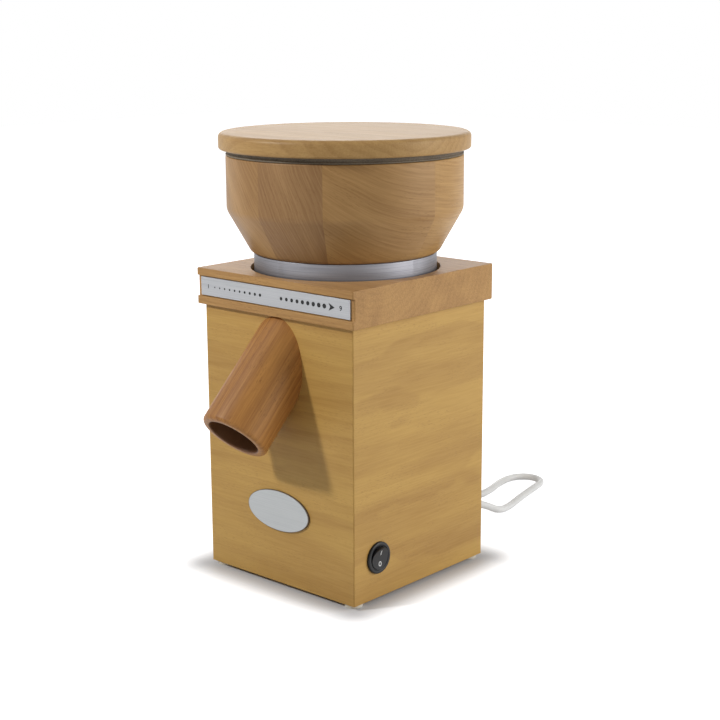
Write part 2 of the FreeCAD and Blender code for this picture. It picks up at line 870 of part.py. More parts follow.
def upper_stone_holder():
    """The plate that carries the upper stone, with an ear over each spring pocket."""
    plate = tube("holder_plate", "upper_eye", "holder_radius", HOLDER_BOTTOM, HOLDER_TOP)
    pieces = [plate]
    for index in range(SPRINGS):
        angle = radial(SPRINGS, index)
        pieces.append(cylinder(
            f"holder_ear_{index + 1}", "ear_radius", "holder_thickness",
            (f"ear_place * {math.cos(angle)}", f"ear_place * {math.sin(angle)}", HOLDER_BOTTOM),
        ))
        arm = box(
            f"holder_arm_{index + 1}", ("0", "0", HOLDER_BOTTOM),
            ("ear_place - holder_radius + holder_arm", "holder_arm", "holder_thickness"),
        )
        turn(arm, Z_AXIS, math.degrees(angle))
        reach = "(holder_radius - holder_arm)"
        place(
            arm, f"{reach} * {math.cos(angle)} + holder_arm / 2 * {math.sin(angle)}",
            f"{reach} * {math.sin(angle)} - holder_arm / 2 * {math.cos(angle)}", HOLDER_BOTTOM,
        )
        pieces.append(arm)
    node("upper_stone_holder", fuse("upper_stone_holder", *pieces))


def arc_from(start, direction, end):
    """The arc that leaves a point in a direction and ends at another point."""
    chord = end - start
    middle = (start + end) * 0.5
    unit = Vector(direction).normalize()
    along = Vector(chord).normalize()
    cosine = max(-1.0, min(1.0, unit.dot(along)))
    side = unit - along * cosine
    if side.Length < 1e-6:
        return Part.LineSegment(start, end)
    rise = 0.5 * chord.Length * math.tan(0.5 * math.acos(cosine))
    return Part.Arc(start, middle + side.normalize() * rise, end)


def biarc(start, leaving, end, arriving):
    """Two arcs that join a point and its direction to another point and its direction."""
    leaving = Vector(leaving).normalize()
    arriving = Vector(arriving).normalize()
    span = end - start
    both = leaving + arriving
    spread = 2 * (1 - leaving.dot(arriving))
    forward = span.dot(both)
    if spread < 1e-9:
        reach = span.dot(span) / (4 * span.dot(leaving))
    else:
        reach = (math.sqrt(forward * forward + spread * span.dot(span)) - forward) / spread
    joint = (start + leaving * reach + end - arriving * reach) * 0.5
    first = arc_from(start, leaving, joint)
    back = arc_from(end, arriving * -1, joint)
    if isinstance(back, Part.LineSegment):
        return [first, Part.LineSegment(joint, end)]
    edge = back.toShape()
    middle = edge.valueAt((edge.FirstParameter + edge.LastParameter) / 2)
    return [first, Part.Arc(joint, middle, end)]


def pipe(curves, radius):
    """A round tube along joined curves, from the first one's start."""
    edges = [curve.toShape() for curve in curves]
    wire = Part.Wire(edges)
    first = edges[0]
    start = first.valueAt(first.FirstParameter)
    direction = first.tangentAt(first.FirstParameter)
    section = Part.Wire([Part.makeCircle(radius, start, direction)])
    solid = wire.makePipeShell([section], True, False)
    return solid, wire


def least_gap(wire, radius, step):
    """The least gap between turns of a tube that are not next to each other."""
    points = wire.discretize(Distance=step)
    skip = int(4 * math.pi * radius / step)
    least = 1e9
    for index, point in enumerate(points):
        for other in points[index + skip:]:
            least = min(least, point.distanceToPoint(other))
    return least - 2 * radius


def lift_springs():
    """Coil springs in the chamber's pockets that push the upper stone up."""
    radius = size("spring_radius")
    wire_radius = size("spring_wire")
    low = number(f"{FLANGE_TOP} - pocket_depth") + wire_radius
    high = number(HOLDER_BOTTOM) - wire_radius - size("spring_play")
    turns = int(size("spring_turns"))
    rise = (high - low) / turns
    slope = rise / (2 * math.pi * radius)
    curves = []
    for quarter in range(4 * turns):
        ends = []
        for step in (quarter, quarter + 1):
            angle = 0.5 * math.pi * step
            point = Vector(radius * math.cos(angle), radius * math.sin(angle), low + rise * step / 4)
            ends.append((point, Vector(-math.sin(angle), math.cos(angle), slope)))
        curves += biarc(ends[0][0], ends[0][1], ends[1][0], ends[1][1])
    shape, wire = pipe(curves, wire_radius)
    print("spring: least gap", round(least_gap(wire, wire_radius, 0.3), 2))
    for index in range(SPRINGS):
        angle = radial(SPRINGS, index)
        spring = solid_feature(f"lift_spring_{index + 1}", shape)
        spring.Placement.Base = Vector(math.cos(angle), math.sin(angle), 0) * size("ear_place")
        node(f"lift_spring_{index + 1}", spring)


def slip_ring():
    ring = tube("slip_ring", "upper_eye + eye_flare", "slip_radius", SLIP_BOTTOM, SLIP_TOP)
    node("slip_ring", ring)


# The motor, which hangs from the chamber's neck

def motor():
    shell = tube("motor_housing", "motor_radius - motor_wall", "motor_radius", MOTOR_FOOT, UPPER_SHIELD)
    node("motor_housing", shell)
    upper = turned("upper_shield_blank", [
        ("bearing_radius", f"{MOTOR_TOP} - bearing_height"),
        ("bearing_radius + shield_hub", f"{MOTOR_TOP} - bearing_height"),
        ("bearing_radius + shield_hub", UPPER_SHIELD), ("motor_radius", UPPER_SHIELD),
        ("motor_radius", MOTOR_TOP), ("bearing_radius", MOTOR_TOP),
    ])
    node("upper_end_shield", cut("upper_end_shield", upper, nodes["motor_bolts"]))
    lower = turned("lower_end_shield", [
        ("bearing_radius", LOWER_SHIELD), ("motor_radius", LOWER_SHIELD), ("motor_radius", MOTOR_FOOT),
        ("bearing_radius + shield_hub", MOTOR_FOOT),
        ("bearing_radius + shield_hub", f"{LOWER_SHIELD} + bearing_height"),
        ("bearing_radius", f"{LOWER_SHIELD} + bearing_height"),
    ])
    node("lower_end_shield", lower)
    for name, low in (("upper_bearing", f"({MOTOR_TOP} - bearing_height)"), ("lower_bearing", LOWER_SHIELD)):
        bearing = tube(name, "shaft_radius + shaft_fit", "bearing_radius", low, f"{low} + bearing_height")
        node(name, bearing)
    core = tube("stator_core", "stator_bore", "motor_radius - motor_wall", STATOR_FOOT, STATOR_TOP)
    node("stator_core", core)
    windings = (
        ("upper_winding", STATOR_TOP, f"{STATOR_TOP} + winding_height"),
        ("lower_winding", f"{STATOR_FOOT} - winding_height", STATOR_FOOT),
    )
    for name, low, high in windings:
        winding = tube(name, "winding_inner", "winding_outer", low, high)
        node(name, winding)
    rotor = tube(
        "rotor_core", "shaft_radius", "stator_bore - air_gap",
        f"{STATOR_FOOT} - rotor_overhang", f"{STATOR_TOP} + rotor_overhang",
    )
    node("rotor_core", rotor)
    shaft = disc(
        "motor_shaft", "shaft_radius", f"{FAN_FOOT} - shaft_tail", f"{DISC_TOP} + nut_height + shaft_head",
    )
    node("motor_shaft", shaft)


def cooling_fan():
    hub = turned("fan_hub", [
        ("shaft_radius", FAN_FOOT), ("2 * shaft_radius", FAN_FOOT),
        ("2 * shaft_radius", f"{FAN_TOP} - blade_wall"), ("fan_radius", f"{FAN_TOP} - blade_wall"),
        ("fan_radius", FAN_TOP), ("shaft_radius", FAN_TOP),
    ])
    pieces = [hub]
    count = int(size("fan_blades"))
    for index in range(count):
        angle = radial(count, index)
        blade = box(
            f"fan_blade_{index + 1}", ("0", "0", "0"),
            ("fan_radius - 2 * shaft_radius + blade_wall / 4", "blade_wall", "fan_height - 2 * blade_wall"),
        )
        turn(blade, Z_AXIS, math.degrees(angle))
        inner = "(2 * shaft_radius - overlap)"
        place(
            blade, f"{inner} * {math.cos(angle)} + blade_wall / 2 * {math.sin(angle)}",
            f"{inner} * {math.sin(angle)} - blade_wall / 2 * {math.cos(angle)}",
            f"{FAN_TOP} - fan_height + 1.25 * blade_wall",
        )
        pieces.append(blade)
    node("cooling_fan", fuse("cooling_fan", *pieces))


def electrics():
    """The motor's capacitor in its clip and the terminal block, both on the base board."""
    axis_height = f"({BASE_TOP} + clip_wall + capacitor_radius)"
    capacitor = cylinder(
        "run_capacitor", "capacitor_radius", "capacitor_length",
        ("-capacitor_place", "capacitor_length / 2", axis_height), X_AXIS, 90,
    )
    node("run_capacitor", capacitor)
    band = tube(
        "clip_band", "capacitor_radius", "capacitor_radius + clip_wall", "-clip_width / 2", "clip_width / 2",
    )
    turn(band, X_AXIS, 90)
    place(band, "-capacitor_place", "0", axis_height)
    foot = box(
        "clip_foot", ("-capacitor_place", "-clip_width / 2", BASE_TOP),
        ("clip_foot", "clip_width", "clip_wall * 0.99"),
    )
    node("capacitor_clip", fuse("capacitor_clip", band, foot))
    block = box(
        "terminal_block", ("0", f"{INSIDE} - 2 * block_width", BASE_TOP),
        ("block_length", "block_width", "block_height"),
    )
    node("terminal_block", block)


# The hopper: an aluminium collar that screws onto the thread, and a wooden bowl

def hopper_collar():
    skirt = "(thread_radius + collar_fit)"
    screws = screw_circle("collar_screws", "collar", (45, 135, 225, 315), WEB_BOTTOM, upward=True)
    node("collar_screws", screws)
    collar = turned("collar_blank", [
        (skirt, f"{COVER_TOP} - collar_drop"), ("collar_radius", f"{COVER_TOP} - collar_drop"),
        ("collar_radius", COLLAR_TOP), ("throat_mouth", COLLAR_TOP),
        ("throat_radius", WEB_BOTTOM), (skirt, WEB_BOTTOM),
    ])
    node("hopper_collar", cut("hopper_collar", collar, nodes["collar_screws"]))


def hopper_bowl():
    bend = f"({COLLAR_TOP} + bowl_bend)"
    bowl = turned("bowl_blank", [
        ("guard_radius", COLLAR_TOP), ("bowl_foot", COLLAR_TOP), ("bowl_radius", bend),
        ("bowl_radius", BOWL_TOP), ("bowl_inside", BOWL_TOP),
        ("bowl_inside", f"{COLLAR_TOP} + bowl_funnel"), ("throat_mouth", f"{COLLAR_TOP} + guard_thickness"),
        ("guard_radius", f"{COLLAR_TOP} + guard_thickness"),
    ])
    rounded(bowl, "bowl_lower_edge", ring_edge("bowl_foot", COLLAR_TOP), "bowl_round")
    node("hopper_bowl", cut("hopper_bowl", bowl, nodes["collar_screws"]))


def grain_guard():
    """A punched plate that keeps fingers out of the throat."""
    plate = disc("guard_plate", "guard_radius", COLLAR_TOP, f"{COLLAR_TOP} + guard_thickness")
    count = int(size("guard_holes"))
    tools = []
    for index in range(count):
        angle = radial(count, index)
        tools.append(cylinder(
            f"guard_hole_{index + 1}", "guard_hole", "4 * guard_thickness",
            (f"guard_circle * {math.cos(angle)}", f"guard_circle * {math.sin(angle)}",
             f"{COLLAR_TOP} - guard_thickness"),
        ))
    node("grain_guard", cut("grain_guard", plate, *tools))


# The lid with its spigot and seal ring

def lid():
    top = f"({LID_BOTTOM} + lid_thickness)"
    board = disc("lid_disc", "lid_radius", LID_BOTTOM, top)
    rounded(board, "lid_upper_edge", ring_edge("lid_radius", top), "lid_round")
    rounded(board, "lid_lower_edge", ring_edge("lid_radius", LID_BOTTOM), "lid_round / 2")
    node("lid_disc", board)
    spigot = disc("lid_spigot", "bowl_inside - spigot_play", f"{BOWL_TOP} - spigot_depth", LID_BOTTOM)
    rounded(
        spigot, "spigot_edge", ring_edge("bowl_inside - spigot_play", f"{BOWL_TOP} - spigot_depth"),
        "spigot_depth / 4",
    )
    node("lid_spigot", spigot)
    seal = tube("lid_seal", "bowl_inside - spigot_play", "bowl_radius", SEAL_BOTTOM, LID_BOTTOM)
    node("lid_seal", seal)


# The mains lead: strain relief, free stretch, coil, tie and plug

CORD_ROUTE = [
    (30, 105, 22),
    (30, 120, 22),
    (29.5, 137, 15),
    (27.5, 155, 6),
    (23, 175, 3),
    (17, 196, 3),
    (12, 216, 3),
    (8, 235, 3),
    (4.5, 250, 3),
    (-6.2, 257.2, 3),
    (-18.9, 254.7, 3),
    (-26, 244, 3),
    (-23, 224, 3),
    (-17, 204, 3),
    (-14, 186, 3),
    (-20, 171, 3.2),
    (-29, 160, 3.8),
    (-33, 148, 4.5),
    (-33, 136, 4.5),
]
PLUG_ROUTE = [
    (-123.6, 136, 11.1),
    (-123.6, 148, 11.1),
    (-123.6, 160, 18.5),
    (-123.6, 172, 18.5),
]
RUN_SHARE = 0.45


def cord_curves(route):
    """Straight runs along a route, joined by arcs as large as the runs allow."""
    points = [Vector(*point) for point in route]
    curves = []
    radii = []
    here = points[0]
    for before, corner, after in zip(points, points[1:], points[2:]):
        incoming = corner - before
        outgoing = after - corner
        half_turn = incoming.getAngle(outgoing) / 2
        setback = RUN_SHARE * min(incoming.Length, outgoing.Length)
        radii.append(setback / math.tan(half_turn))
        start = corner - Vector(incoming).normalize() * setback
        end = corner + Vector(outgoing).normalize() * setback
        curves.append(Part.LineSegment(here, start))
        curves.append(arc_from(start, incoming, end))
        here = end
    curves.append(Part.LineSegment(here, points[-1]))
    return curves, radii


def cord_stretch(name, route):
    curves, radii = cord_curves(route)
    radius = size("cord_radius")
    shape, wire = pipe(curves, radius)
    expected = math.pi * radius * radius * wire.Length
    print(name, "length", round(wire.Length), "least radius", round(min(radii), 1),
          "volume share", round(shape.Volume / expected, 4))
    node(name, solid_feature(name, shape))
    return wire.Length


def strain_relief():
    """The tapered sleeve on the rear board, turned about the lead's axis."""
    outside = "gland_flange_thickness"
    sleeve = turned("strain_relief", [
        ("0", "-board"), ("gland_barrel", "-board"), ("gland_barrel", "0"), ("gland_flange", "0"),
        ("gland_flange", outside), ("relief_start", outside),
        ("relief_end", "relief_length"), ("0", "relief_length"),
    ])
    turn(sleeve, X_AXIS, -90)
    place(sleeve, "gland_place", HALF, "gland_height")
    node("strain_relief", sleeve)
    nut = tube("gland_nut", "gland_barrel / 2", "gland_flange", "-board - gland_nut", "-board")
    turn(nut, X_AXIS, -90)
    place(nut, "gland_place", HALF, "gland_height")
    node("gland_nut", nut)


def cord_coil():
    """The put-away length: half turns that spiral in, climb a layer and spiral out again."""
    radius = size("cord_radius")
    pitch = size("coil_pitch")
    count = int(size("coil_half_turns"))
    entry = Vector(*CORD_ROUTE[-1])
    here = entry - Y_AXIS * (2 * radius)
    curves = [Part.LineSegment(entry, here)]
    side = -1
    reach = size("coil_radius")
    for index in range(2 * count + 1):
        end = here + X_AXIS * (side * 2 * reach)
        if index == count:
            end = Vector(end.x, end.y, entry.z + pitch)
            curves += biarc(here, Y_AXIS * side, end, Y_AXIS * -side)
        else:
            middle = (here + end) * 0.5 + Y_AXIS * (side * reach)
            curves.append(Part.Arc(here, middle, end))
        here = end
        side = -side
        reach += -pitch / 2 if index < count else pitch / 2
    leave = here + Y_AXIS * (2 * radius)
    curves.append(Part.LineSegment(here, leave))
    shape, wire = pipe(curves, radius)
    expected = math.pi * radius * radius * wire.Length
    print("coil length", round(wire.Length), "least gap", round(least_gap(wire, radius, 1.5), 2),
          "volume share", round(shape.Volume / expected, 4), "leaves at", leave)
    node("cord_coil", solid_feature("cord_coil", shape))
    return wire.Length


def cord_tie():
    """A flat band round all the turns, on the side of the coil that faces the casing."""
    radius = size("cord_radius")
    play = size("tie_play")
    band = size("tie_thickness")
    wide = size("tie_width")
    centre_x = CORD_ROUTE[-1][0] - size("coil_radius") - size("coil_pitch") / 2
    centre_y = CORD_ROUTE[-1][1] - 2 * radius
    rest = CORD_ROUTE[-1][2]
    outer = size("coil_radius") + radius + play
    inner = size("coil_radius") - size("coil_pitch") * (size("coil_half_turns") - 1) / 2 - radius - play
    low = rest - radius - play
    high = rest + size("coil_pitch") + radius + play
    outside = Part.makeBox(
        wide, outer - inner + 2 * band, high - low + 2 * band,
        Vector(centre_x - wide / 2, centre_y - outer - band, low - band),
    )
    inside = Part.makeBox(
        2 * wide, outer - inner, high - low, Vector(centre_x - wide, centre_y - outer, low),
    )
    node("cord_tie", solid_feature("cord_tie", outside.cut(inside)))


def plug():
    """A round two-pin plug lying on its side, with its sleeve on the lead."""
    end_x, end_y, end_z = (str(value) for value in PLUG_ROUTE[-1])
    body = turned("plug_body", [
        ("0", "0"), ("cord_radius + 1", "0"), ("plug_sleeve_radius", "plug_sleeve"),
        ("plug_shoulder", "plug_sleeve"), ("plug_radius", "plug_sleeve + plug_length / 3"),
        ("plug_radius", "plug_sleeve + plug_length"), ("0", "plug_sleeve + plug_length"),
    ])
    rounded(body, "plug_rim", ring_edge("plug_radius", "plug_sleeve + plug_length"), "plug_round")
    turn(body, X_AXIS, -90)
    place(body, end_x, end_y, end_z)
    node("plug_body", body)
    pins = []
    for index, side in enumerate((-1, 1), start=1):
        pin = disc(f"plug_pin_{index}", "pin_radius", "0", "pin_length")
        rounded(pin, f"pin_tip_{index}", ring_edge("pin_radius", "pin_length"), "pin_radius / 2")
        turn(pin, X_AXIS, -90)
        place(pin, f"{end_x} + {side} * pin_spacing / 2", f"{end_y} + plug_sleeve + plug_length", end_z)
        pins.append(pin)
    node("plug_pins", group("plug_pins", pins))


def build():
    casing_screws()
    front_panel()
    right_panel()
    rear_panel()
    left_panel()
    base_board()
    corner_posts()
    feet()
    top_cover()
    scale_plate()
    badge_plate()
    spout_tube()
    switch_housing()
    switch_rocker()
    switch_terminals()
    mill_chamber()
    thread_ring()
    shaft_seal()
    stone_rotor()
    stones()
    stone_nut()
    upper_stone_holder()
    lift_springs()
    slip_ring()
    motor()
    cooling_fan()
    electrics()
    hopper_collar()
    hopper_bowl()
    grain_guard()
    lid()
    strain_relief()
    total = cord_stretch("power_cord", CORD_ROUTE)
    total += cord_coil()
    total += cord_stretch("plug_lead", PLUG_ROUTE)
    print("lead: whole length", round(total))
    cord_tie()
    plug()


def check():
    """Stops on any object that failed and on any empty or broken sub-part."""
    doc.recompute()
    for obj in doc.Objects:
        if "Invalid" in obj.State or "Error" in obj.State:
            raise RuntimeError(f"{obj.Label} failed: {obj.State}")
    for name, obj in nodes.items():
        if obj.Shape.isNull() or not obj.Shape.isValid() or obj.Shape.Volume <= 0:
            raise RuntimeError(f"{name} has no valid solid")
        wanted = len(obj.Links) if obj.TypeId == "Part::Compound" else 1
        if len(obj.Shape.Solids) != wanted:
            raise RuntimeError(f"{name} has {len(obj.Shape.Solids)} solids")


def write():
    os.makedirs("parts", exist_ok=True)
    for name, obj in nodes.items():
        obj.Shape.exportStep(os.path.join("parts", name + ".step"))
    print(len(nodes), "sub-parts written")


build()
check()
write()
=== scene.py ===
# %% [markdown]
# # An electric grain mill in oiled wood
# The real machine is a square wooden box with a motor and two millstones in it, a turned wooden
# hopper screwed on top, and a slanted wooden spout in front. This lesson dresses its measured model:
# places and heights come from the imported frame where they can, the rest are named values in
# millimetres, and each cell adds a piece, a finish or a helper.

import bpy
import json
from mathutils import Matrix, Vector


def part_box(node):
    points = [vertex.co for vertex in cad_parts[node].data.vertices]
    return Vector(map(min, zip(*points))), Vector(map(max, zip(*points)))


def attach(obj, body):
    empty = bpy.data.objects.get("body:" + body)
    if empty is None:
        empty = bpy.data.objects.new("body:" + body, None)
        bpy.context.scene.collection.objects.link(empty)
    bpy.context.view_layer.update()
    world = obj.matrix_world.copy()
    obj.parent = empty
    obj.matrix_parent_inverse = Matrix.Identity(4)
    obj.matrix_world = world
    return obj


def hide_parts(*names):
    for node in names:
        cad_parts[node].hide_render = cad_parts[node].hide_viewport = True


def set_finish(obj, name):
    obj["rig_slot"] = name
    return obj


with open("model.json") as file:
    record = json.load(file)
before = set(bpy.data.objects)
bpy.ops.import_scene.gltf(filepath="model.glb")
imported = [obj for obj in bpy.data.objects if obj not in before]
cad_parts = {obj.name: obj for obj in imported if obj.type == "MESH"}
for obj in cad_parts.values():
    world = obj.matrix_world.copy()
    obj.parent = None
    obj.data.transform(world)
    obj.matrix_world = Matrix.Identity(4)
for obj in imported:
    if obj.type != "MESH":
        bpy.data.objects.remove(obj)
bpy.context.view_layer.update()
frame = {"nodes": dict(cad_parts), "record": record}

# %% [markdown]
# ## View and units
# Blender measures in metres and the maker's drawing is in millimetres, so one factor turns the one
# into the other. The camera could be placed by eye, but here its place, its three turns and its lens
# were worked out from the corners of the box in the photograph, which leaves nothing to fit later.

# %% Camera
import json
import math

import bmesh
import bpy
from mathutils import Matrix, Vector

MM = 0.001
scene = bpy.context.scene
scene.view_settings.view_transform = "Standard"

CAMERA_PLACE = Vector((732.48, -799.69, 406.76)) * MM
CAMERA_YAW = math.radians(41.95)
CAMERA_PITCH = math.radians(13.0)
CAMERA_ROLL = math.radians(-0.27)
SENSOR_WIDTH = 36
LENS = 75.15
FAR_CLIP = 20

level_right = Vector((math.cos(CAMERA_YAW), math.sin(CAMERA_YAW), 0))
backward = Vector((
    math.sin(CAMERA_YAW) * math.cos(CAMERA_PITCH),
    -math.cos(CAMERA_YAW) * math.cos(CAMERA_PITCH),
    math.sin(CAMERA_PITCH),
))
level_up = backward.cross(level_right)
camera_right = level_right * math.cos(CAMERA_ROLL) + level_up * math.sin(CAMERA_ROLL)
camera_up = level_up * math.cos(CAMERA_ROLL) - level_right * math.sin(CAMERA_ROLL)

camera_data = bpy.data.cameras.new("photograph")
camera_data.sensor_width = SENSOR_WIDTH
camera_data.lens = LENS
camera_data.clip_end = FAR_CLIP
camera = bpy.data.objects.new("photograph", camera_data)
camera.matrix_world = Matrix((
    (camera_right.x, camera_up.x, backward.x, CAMERA_PLACE.x),
    (camera_right.y, camera_up.y, backward.y, CAMERA_PLACE.y),
    (camera_right.z, camera_up.z, backward.z, CAMERA_PLACE.z),
    (0, 0, 0, 1),
))
scene.collection.objects.link(camera)
scene.camera = camera
print("camera lens:", LENS, "mm, distance to the origin:", round(CAMERA_PLACE.length, 3), "m")

# %% [markdown]
# ## The mains lead
# A lead is one length of something flexible, so it is one curve with round thickness. It could be a
# mesh tube, but a NURBS spline stays smooth between few points and is easy to re-lay. It leaves the
# rear board, swings out in one loop behind the machine and ends in a neat tied coil and a plug. The
# coil is not typed in: a loop lays its half turns, each smaller than the one before, up one layer and
# out again. A spline of order 3 passes inside its points, so the points stand a little outside.

# %% Lead as one spline
LEAD_ROUTE = [
    (30, 105, 22), (30, 120, 22), (29.5, 137, 15), (27.5, 155, 6), (23, 175, 3), (17, 196, 3),
    (12, 216, 3), (8, 235, 3), (4.5, 249, 3), (-5, 256.2, 3), (-17, 254.5, 3), (-24.5, 243, 3),
    (-23, 224, 3), (-17, 204, 3), (-14, 186, 3), (-20, 171, 3.2), (-29, 160, 3.8), (-33, 148, 4.5),
    (-33, 136, 4.5),
]
PLUG_ROUTE = [(-123.6, 136, 11.1), (-123.6, 148, 11.1), (-123.6, 160, 18.5), (-123.6, 172, 18.5)]
COIL_RADIUS = 42
COIL_PITCH = 6.6
COIL_HALF_TURNS = 5
POINTS_PER_HALF = 8
LEAD_RADIUS = 3


def coil_points(start):
    """Control points of half turns that spiral in, climb one layer and spiral out again."""
    points = []
    here = Vector(start) - Vector((0, 2 * LEAD_RADIUS, 0))
    side = -1
    reach = COIL_RADIUS
    height = here.z
    step = math.pi / POINTS_PER_HALF
    for half in range(2 * COIL_HALF_TURNS + 1):
        centre_x = here.x + side * reach
        climbing = half == COIL_HALF_TURNS
        for index in range(POINTS_PER_HALF):
            angle = (index + 0.5) * step
            share = (index + 0.5) / POINTS_PER_HALF
            swing = reach / math.cos(step / 2)
            points.append((
                centre_x - side * swing * math.cos(angle),
                here.y + side * swing * math.sin(angle),
                height + (COIL_PITCH * share if climbing else 0),
            ))
        if climbing:
            height += COIL_PITCH
        here = Vector((here.x + side * 2 * reach, here.y, height))
        side = -side
        reach += COIL_PITCH / 2 if half >= COIL_HALF_TURNS else -COIL_PITCH / 2
    return points


lead_points = LEAD_ROUTE + coil_points(LEAD_ROUTE[-1]) + PLUG_ROUTE
lead_curve = bpy.data.curves.new("mains_lead", "CURVE")
lead_curve.dimensions = "3D"
lead_spline = lead_curve.splines.new("NURBS")
lead_spline.points.add(len(lead_points) - 1)
for control, (x, y, z) in zip(lead_spline.points, lead_points):
    control.co = (x * MM, y * MM, z * MM, 1)
    control.radius = LEAD_RADIUS * MM
lead_spline.order_u = 3
lead_spline.use_endpoint_u = True
lead_spline.resolution_u = 6
lead_curve.bevel_depth = 1
lead_curve.bevel_resolution = 4
lead_curve.use_fill_caps = True
mains_lead = bpy.data.objects.new("mains_lead", lead_curve)
scene.collection.objects.link(mains_lead)
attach(mains_lead, "casing")
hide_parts("power_cord", "cord_coil", "plug_lead")
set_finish(mains_lead, "cord_white")
print("lead control points:", len(lead_points))

# %% [markdown]
# ## Helpers for making shapes
# Nearly every piece of this machine is either turned on a lathe or sawn from a board. A turned piece
# starts as the flat outline of half its section, whose corners are eased while it is still flat, and
# is then spun about its axis. A sawn piece starts as a merged copy of its measured mesh, so its holes
# and mitres stay where they are, and only its long edges are softened.

# %% Shape helpers
pieces = {}
SQUARE_ON = 0.9995
SAME_POINT = 1e-7
MERGE_DISTANCE = 2e-6
FLAT_ANGLE = math.radians(0.5)


def finish_mesh(name, shape, smooth_angle=35):
    """Turns a bmesh into an object of the scene, smooth except over sharp edges.

    Faces that look straight along an axis stay flat, so eased edges don't bend their shading.
    """
    mesh = bpy.data.meshes.new(name)
    shape.to_mesh(mesh)
    shape.free()
    if mesh.has_custom_normals:
        mesh.attributes.remove(mesh.attributes["custom_normal"])
    for face in mesh.polygons:
        face.use_smooth = True
    mesh.set_sharp_from_angle(angle=math.radians(smooth_angle))
    for face in mesh.polygons:
        face.use_smooth = max(abs(part) for part in face.normal) < SQUARE_ON
    piece = bpy.data.objects.new(name, mesh)
    scene.collection.objects.link(piece)
    pieces[name] = piece
    return piece


def add_piece(name, shape, body, slot, *nodes, smooth_angle=35):
    """A finished piece with the body it moves with, its finish and the measured nodes it stands for."""
    piece = finish_mesh(name, shape, smooth_angle)
    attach(piece, body)
    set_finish(piece, slot)
    if nodes:
        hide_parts(*nodes)
    return piece


def turned(degrees, axis):
    return Matrix.Rotation(math.radians(degrees), 4, axis)


def move_shape(shape, matrix):
    bmesh.ops.transform(shape, matrix=matrix, verts=shape.verts[:])


def round_off(shape, geom, width, segments, affect="EDGES", clamp=False):
    """Rounds edges or corners by a width in millimetres."""
    bmesh.ops.bevel(
        shape, geom=geom, offset=width * MM, offset_type="OFFSET", segments=segments,
        profile=0.5, affect=affect, material=-1, clamp_overlap=clamp,
    )


def thicken(shape, height):
    """Draws a flat bmesh out along Z by a height in metres."""
    made = bmesh.ops.extrude_face_region(shape, geom=shape.faces[:])["geom"]
    raised = [item for item in made if isinstance(item, bmesh.types.BMVert)]
    bmesh.ops.translate(shape, vec=(0, 0, height), verts=raised)


def cut_off(shape, point, normal):
    """Cuts away what lies beyond a plane and returns the edges of the cut."""
    found = bmesh.ops.bisect_plane(
        shape, geom=shape.verts[:] + shape.edges[:] + shape.faces[:], dist=SAME_POINT,
        plane_co=point, plane_no=normal, clear_outer=True,
    )
    return [item for item in found["geom_cut"] if isinstance(item, bmesh.types.BMEdge)]


def face_outward(shape):
    bmesh.ops.recalc_face_normals(shape, faces=shape.faces[:])


def spun(corners, eased, steps=128, segments=4):
    """A bmesh turned about Z from the outline of half its section, in millimetres.

    eased gives the size of the rounding at each corner that has one.
    """
    shape = bmesh.new()
    points = [shape.verts.new((radius * MM, 0, height * MM)) for radius, height in corners]
    shape.faces.new(points)
    for index, width in eased.items():
        round_off(shape, [points[index]], width, segments, affect="VERTICES")
    bmesh.ops.delete(shape, geom=shape.faces[:], context="FACES_ONLY")
    on_axis = [edge for edge in shape.edges if all(vert.co.x < SAME_POINT for vert in edge.verts)]
    bmesh.ops.delete(shape, geom=on_axis, context="EDGES")
    bmesh.ops.spin(
        shape, geom=shape.verts[:] + shape.edges[:], cent=(0, 0, 0), axis=(0, 0, 1),
        dvec=(0, 0, 0), angle=2 * math.pi, steps=steps, use_merge=True,
    )
    bmesh.ops.remove_doubles(shape, verts=shape.verts[:], dist=SAME_POINT)
    face_outward(shape)
    return shape


def merged_copy(node):
    """A bmesh of a measured node with its loose triangles joined and its flat faces made whole."""
    shape = bmesh.new()
    shape.from_mesh(frame["nodes"][node].data)
    bmesh.ops.remove_doubles(shape, verts=shape.verts[:], dist=MERGE_DISTANCE)
    bmesh.ops.dissolve_limit(
        shape, angle_limit=FLAT_ANGLE, use_dissolve_boundaries=False,
        verts=shape.verts[:], edges=shape.edges[:],
    )
    return shape


def ease_edges(shape, chosen, width, segments=2):
    """Rounds the edges that a test picks out and returns how many there are."""
    edges = [edge for edge in shape.edges if len(edge.link_faces) == 2 and chosen(edge)]
    round_off(shape, edges, width, segments, clamp=True)
    return len(edges)


print("shape helpers ready")

# %% [markdown]
# ## Casing boards
# The four side boards meet in mitres. On the real box the joint shows as one thin line down each
# corner, and the corner itself is eased by a stroke of sandpaper. Each board's tip is cut off by a
# plane across the corner and the two new edges are rounded, so both boards still meet in one line.

# %% Side boards
CORNER_CUT = 0.45
BOARD_EASE = 0.3
LONG_EDGE = 0.1
HAIR = 1e-5
half_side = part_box("front_panel")[1][0]


def side_board(node, along):
    """A side board with its two outer upright edges eased; along is the board's own long direction."""
    shape = merged_copy(node)
    out = Vector((along[1], -along[0], 0))
    for turn in (1, -1):
        corner = Vector((*along, 0)) * turn + out
        normal = corner.normalized()
        rim = cut_off(shape, corner * half_side - normal * CORNER_CUT * MM, normal)
        bmesh.ops.contextual_create(shape, geom=rim)

    def outer_upright(edge):
        a, b = (vert.co for vert in edge.verts)
        return abs(a.z - b.z) > LONG_EDGE and a.dot(out) > half_side - HAIR

    eased = ease_edges(shape, outer_upright, BOARD_EASE)
    face_outward(shape)
    piece = add_piece("board_" + node.split("_")[0], shape, "casing", "casing_wood", node)
    print(piece.name, "faces:", len(piece.data.polygons), "eased edges:", eased)


for node, along in (
    ("front_panel", (1, 0)), ("right_panel", (0, 1)), ("rear_panel", (-1, 0)), ("left_panel", (0, -1)),
):
    side_board(node, along)

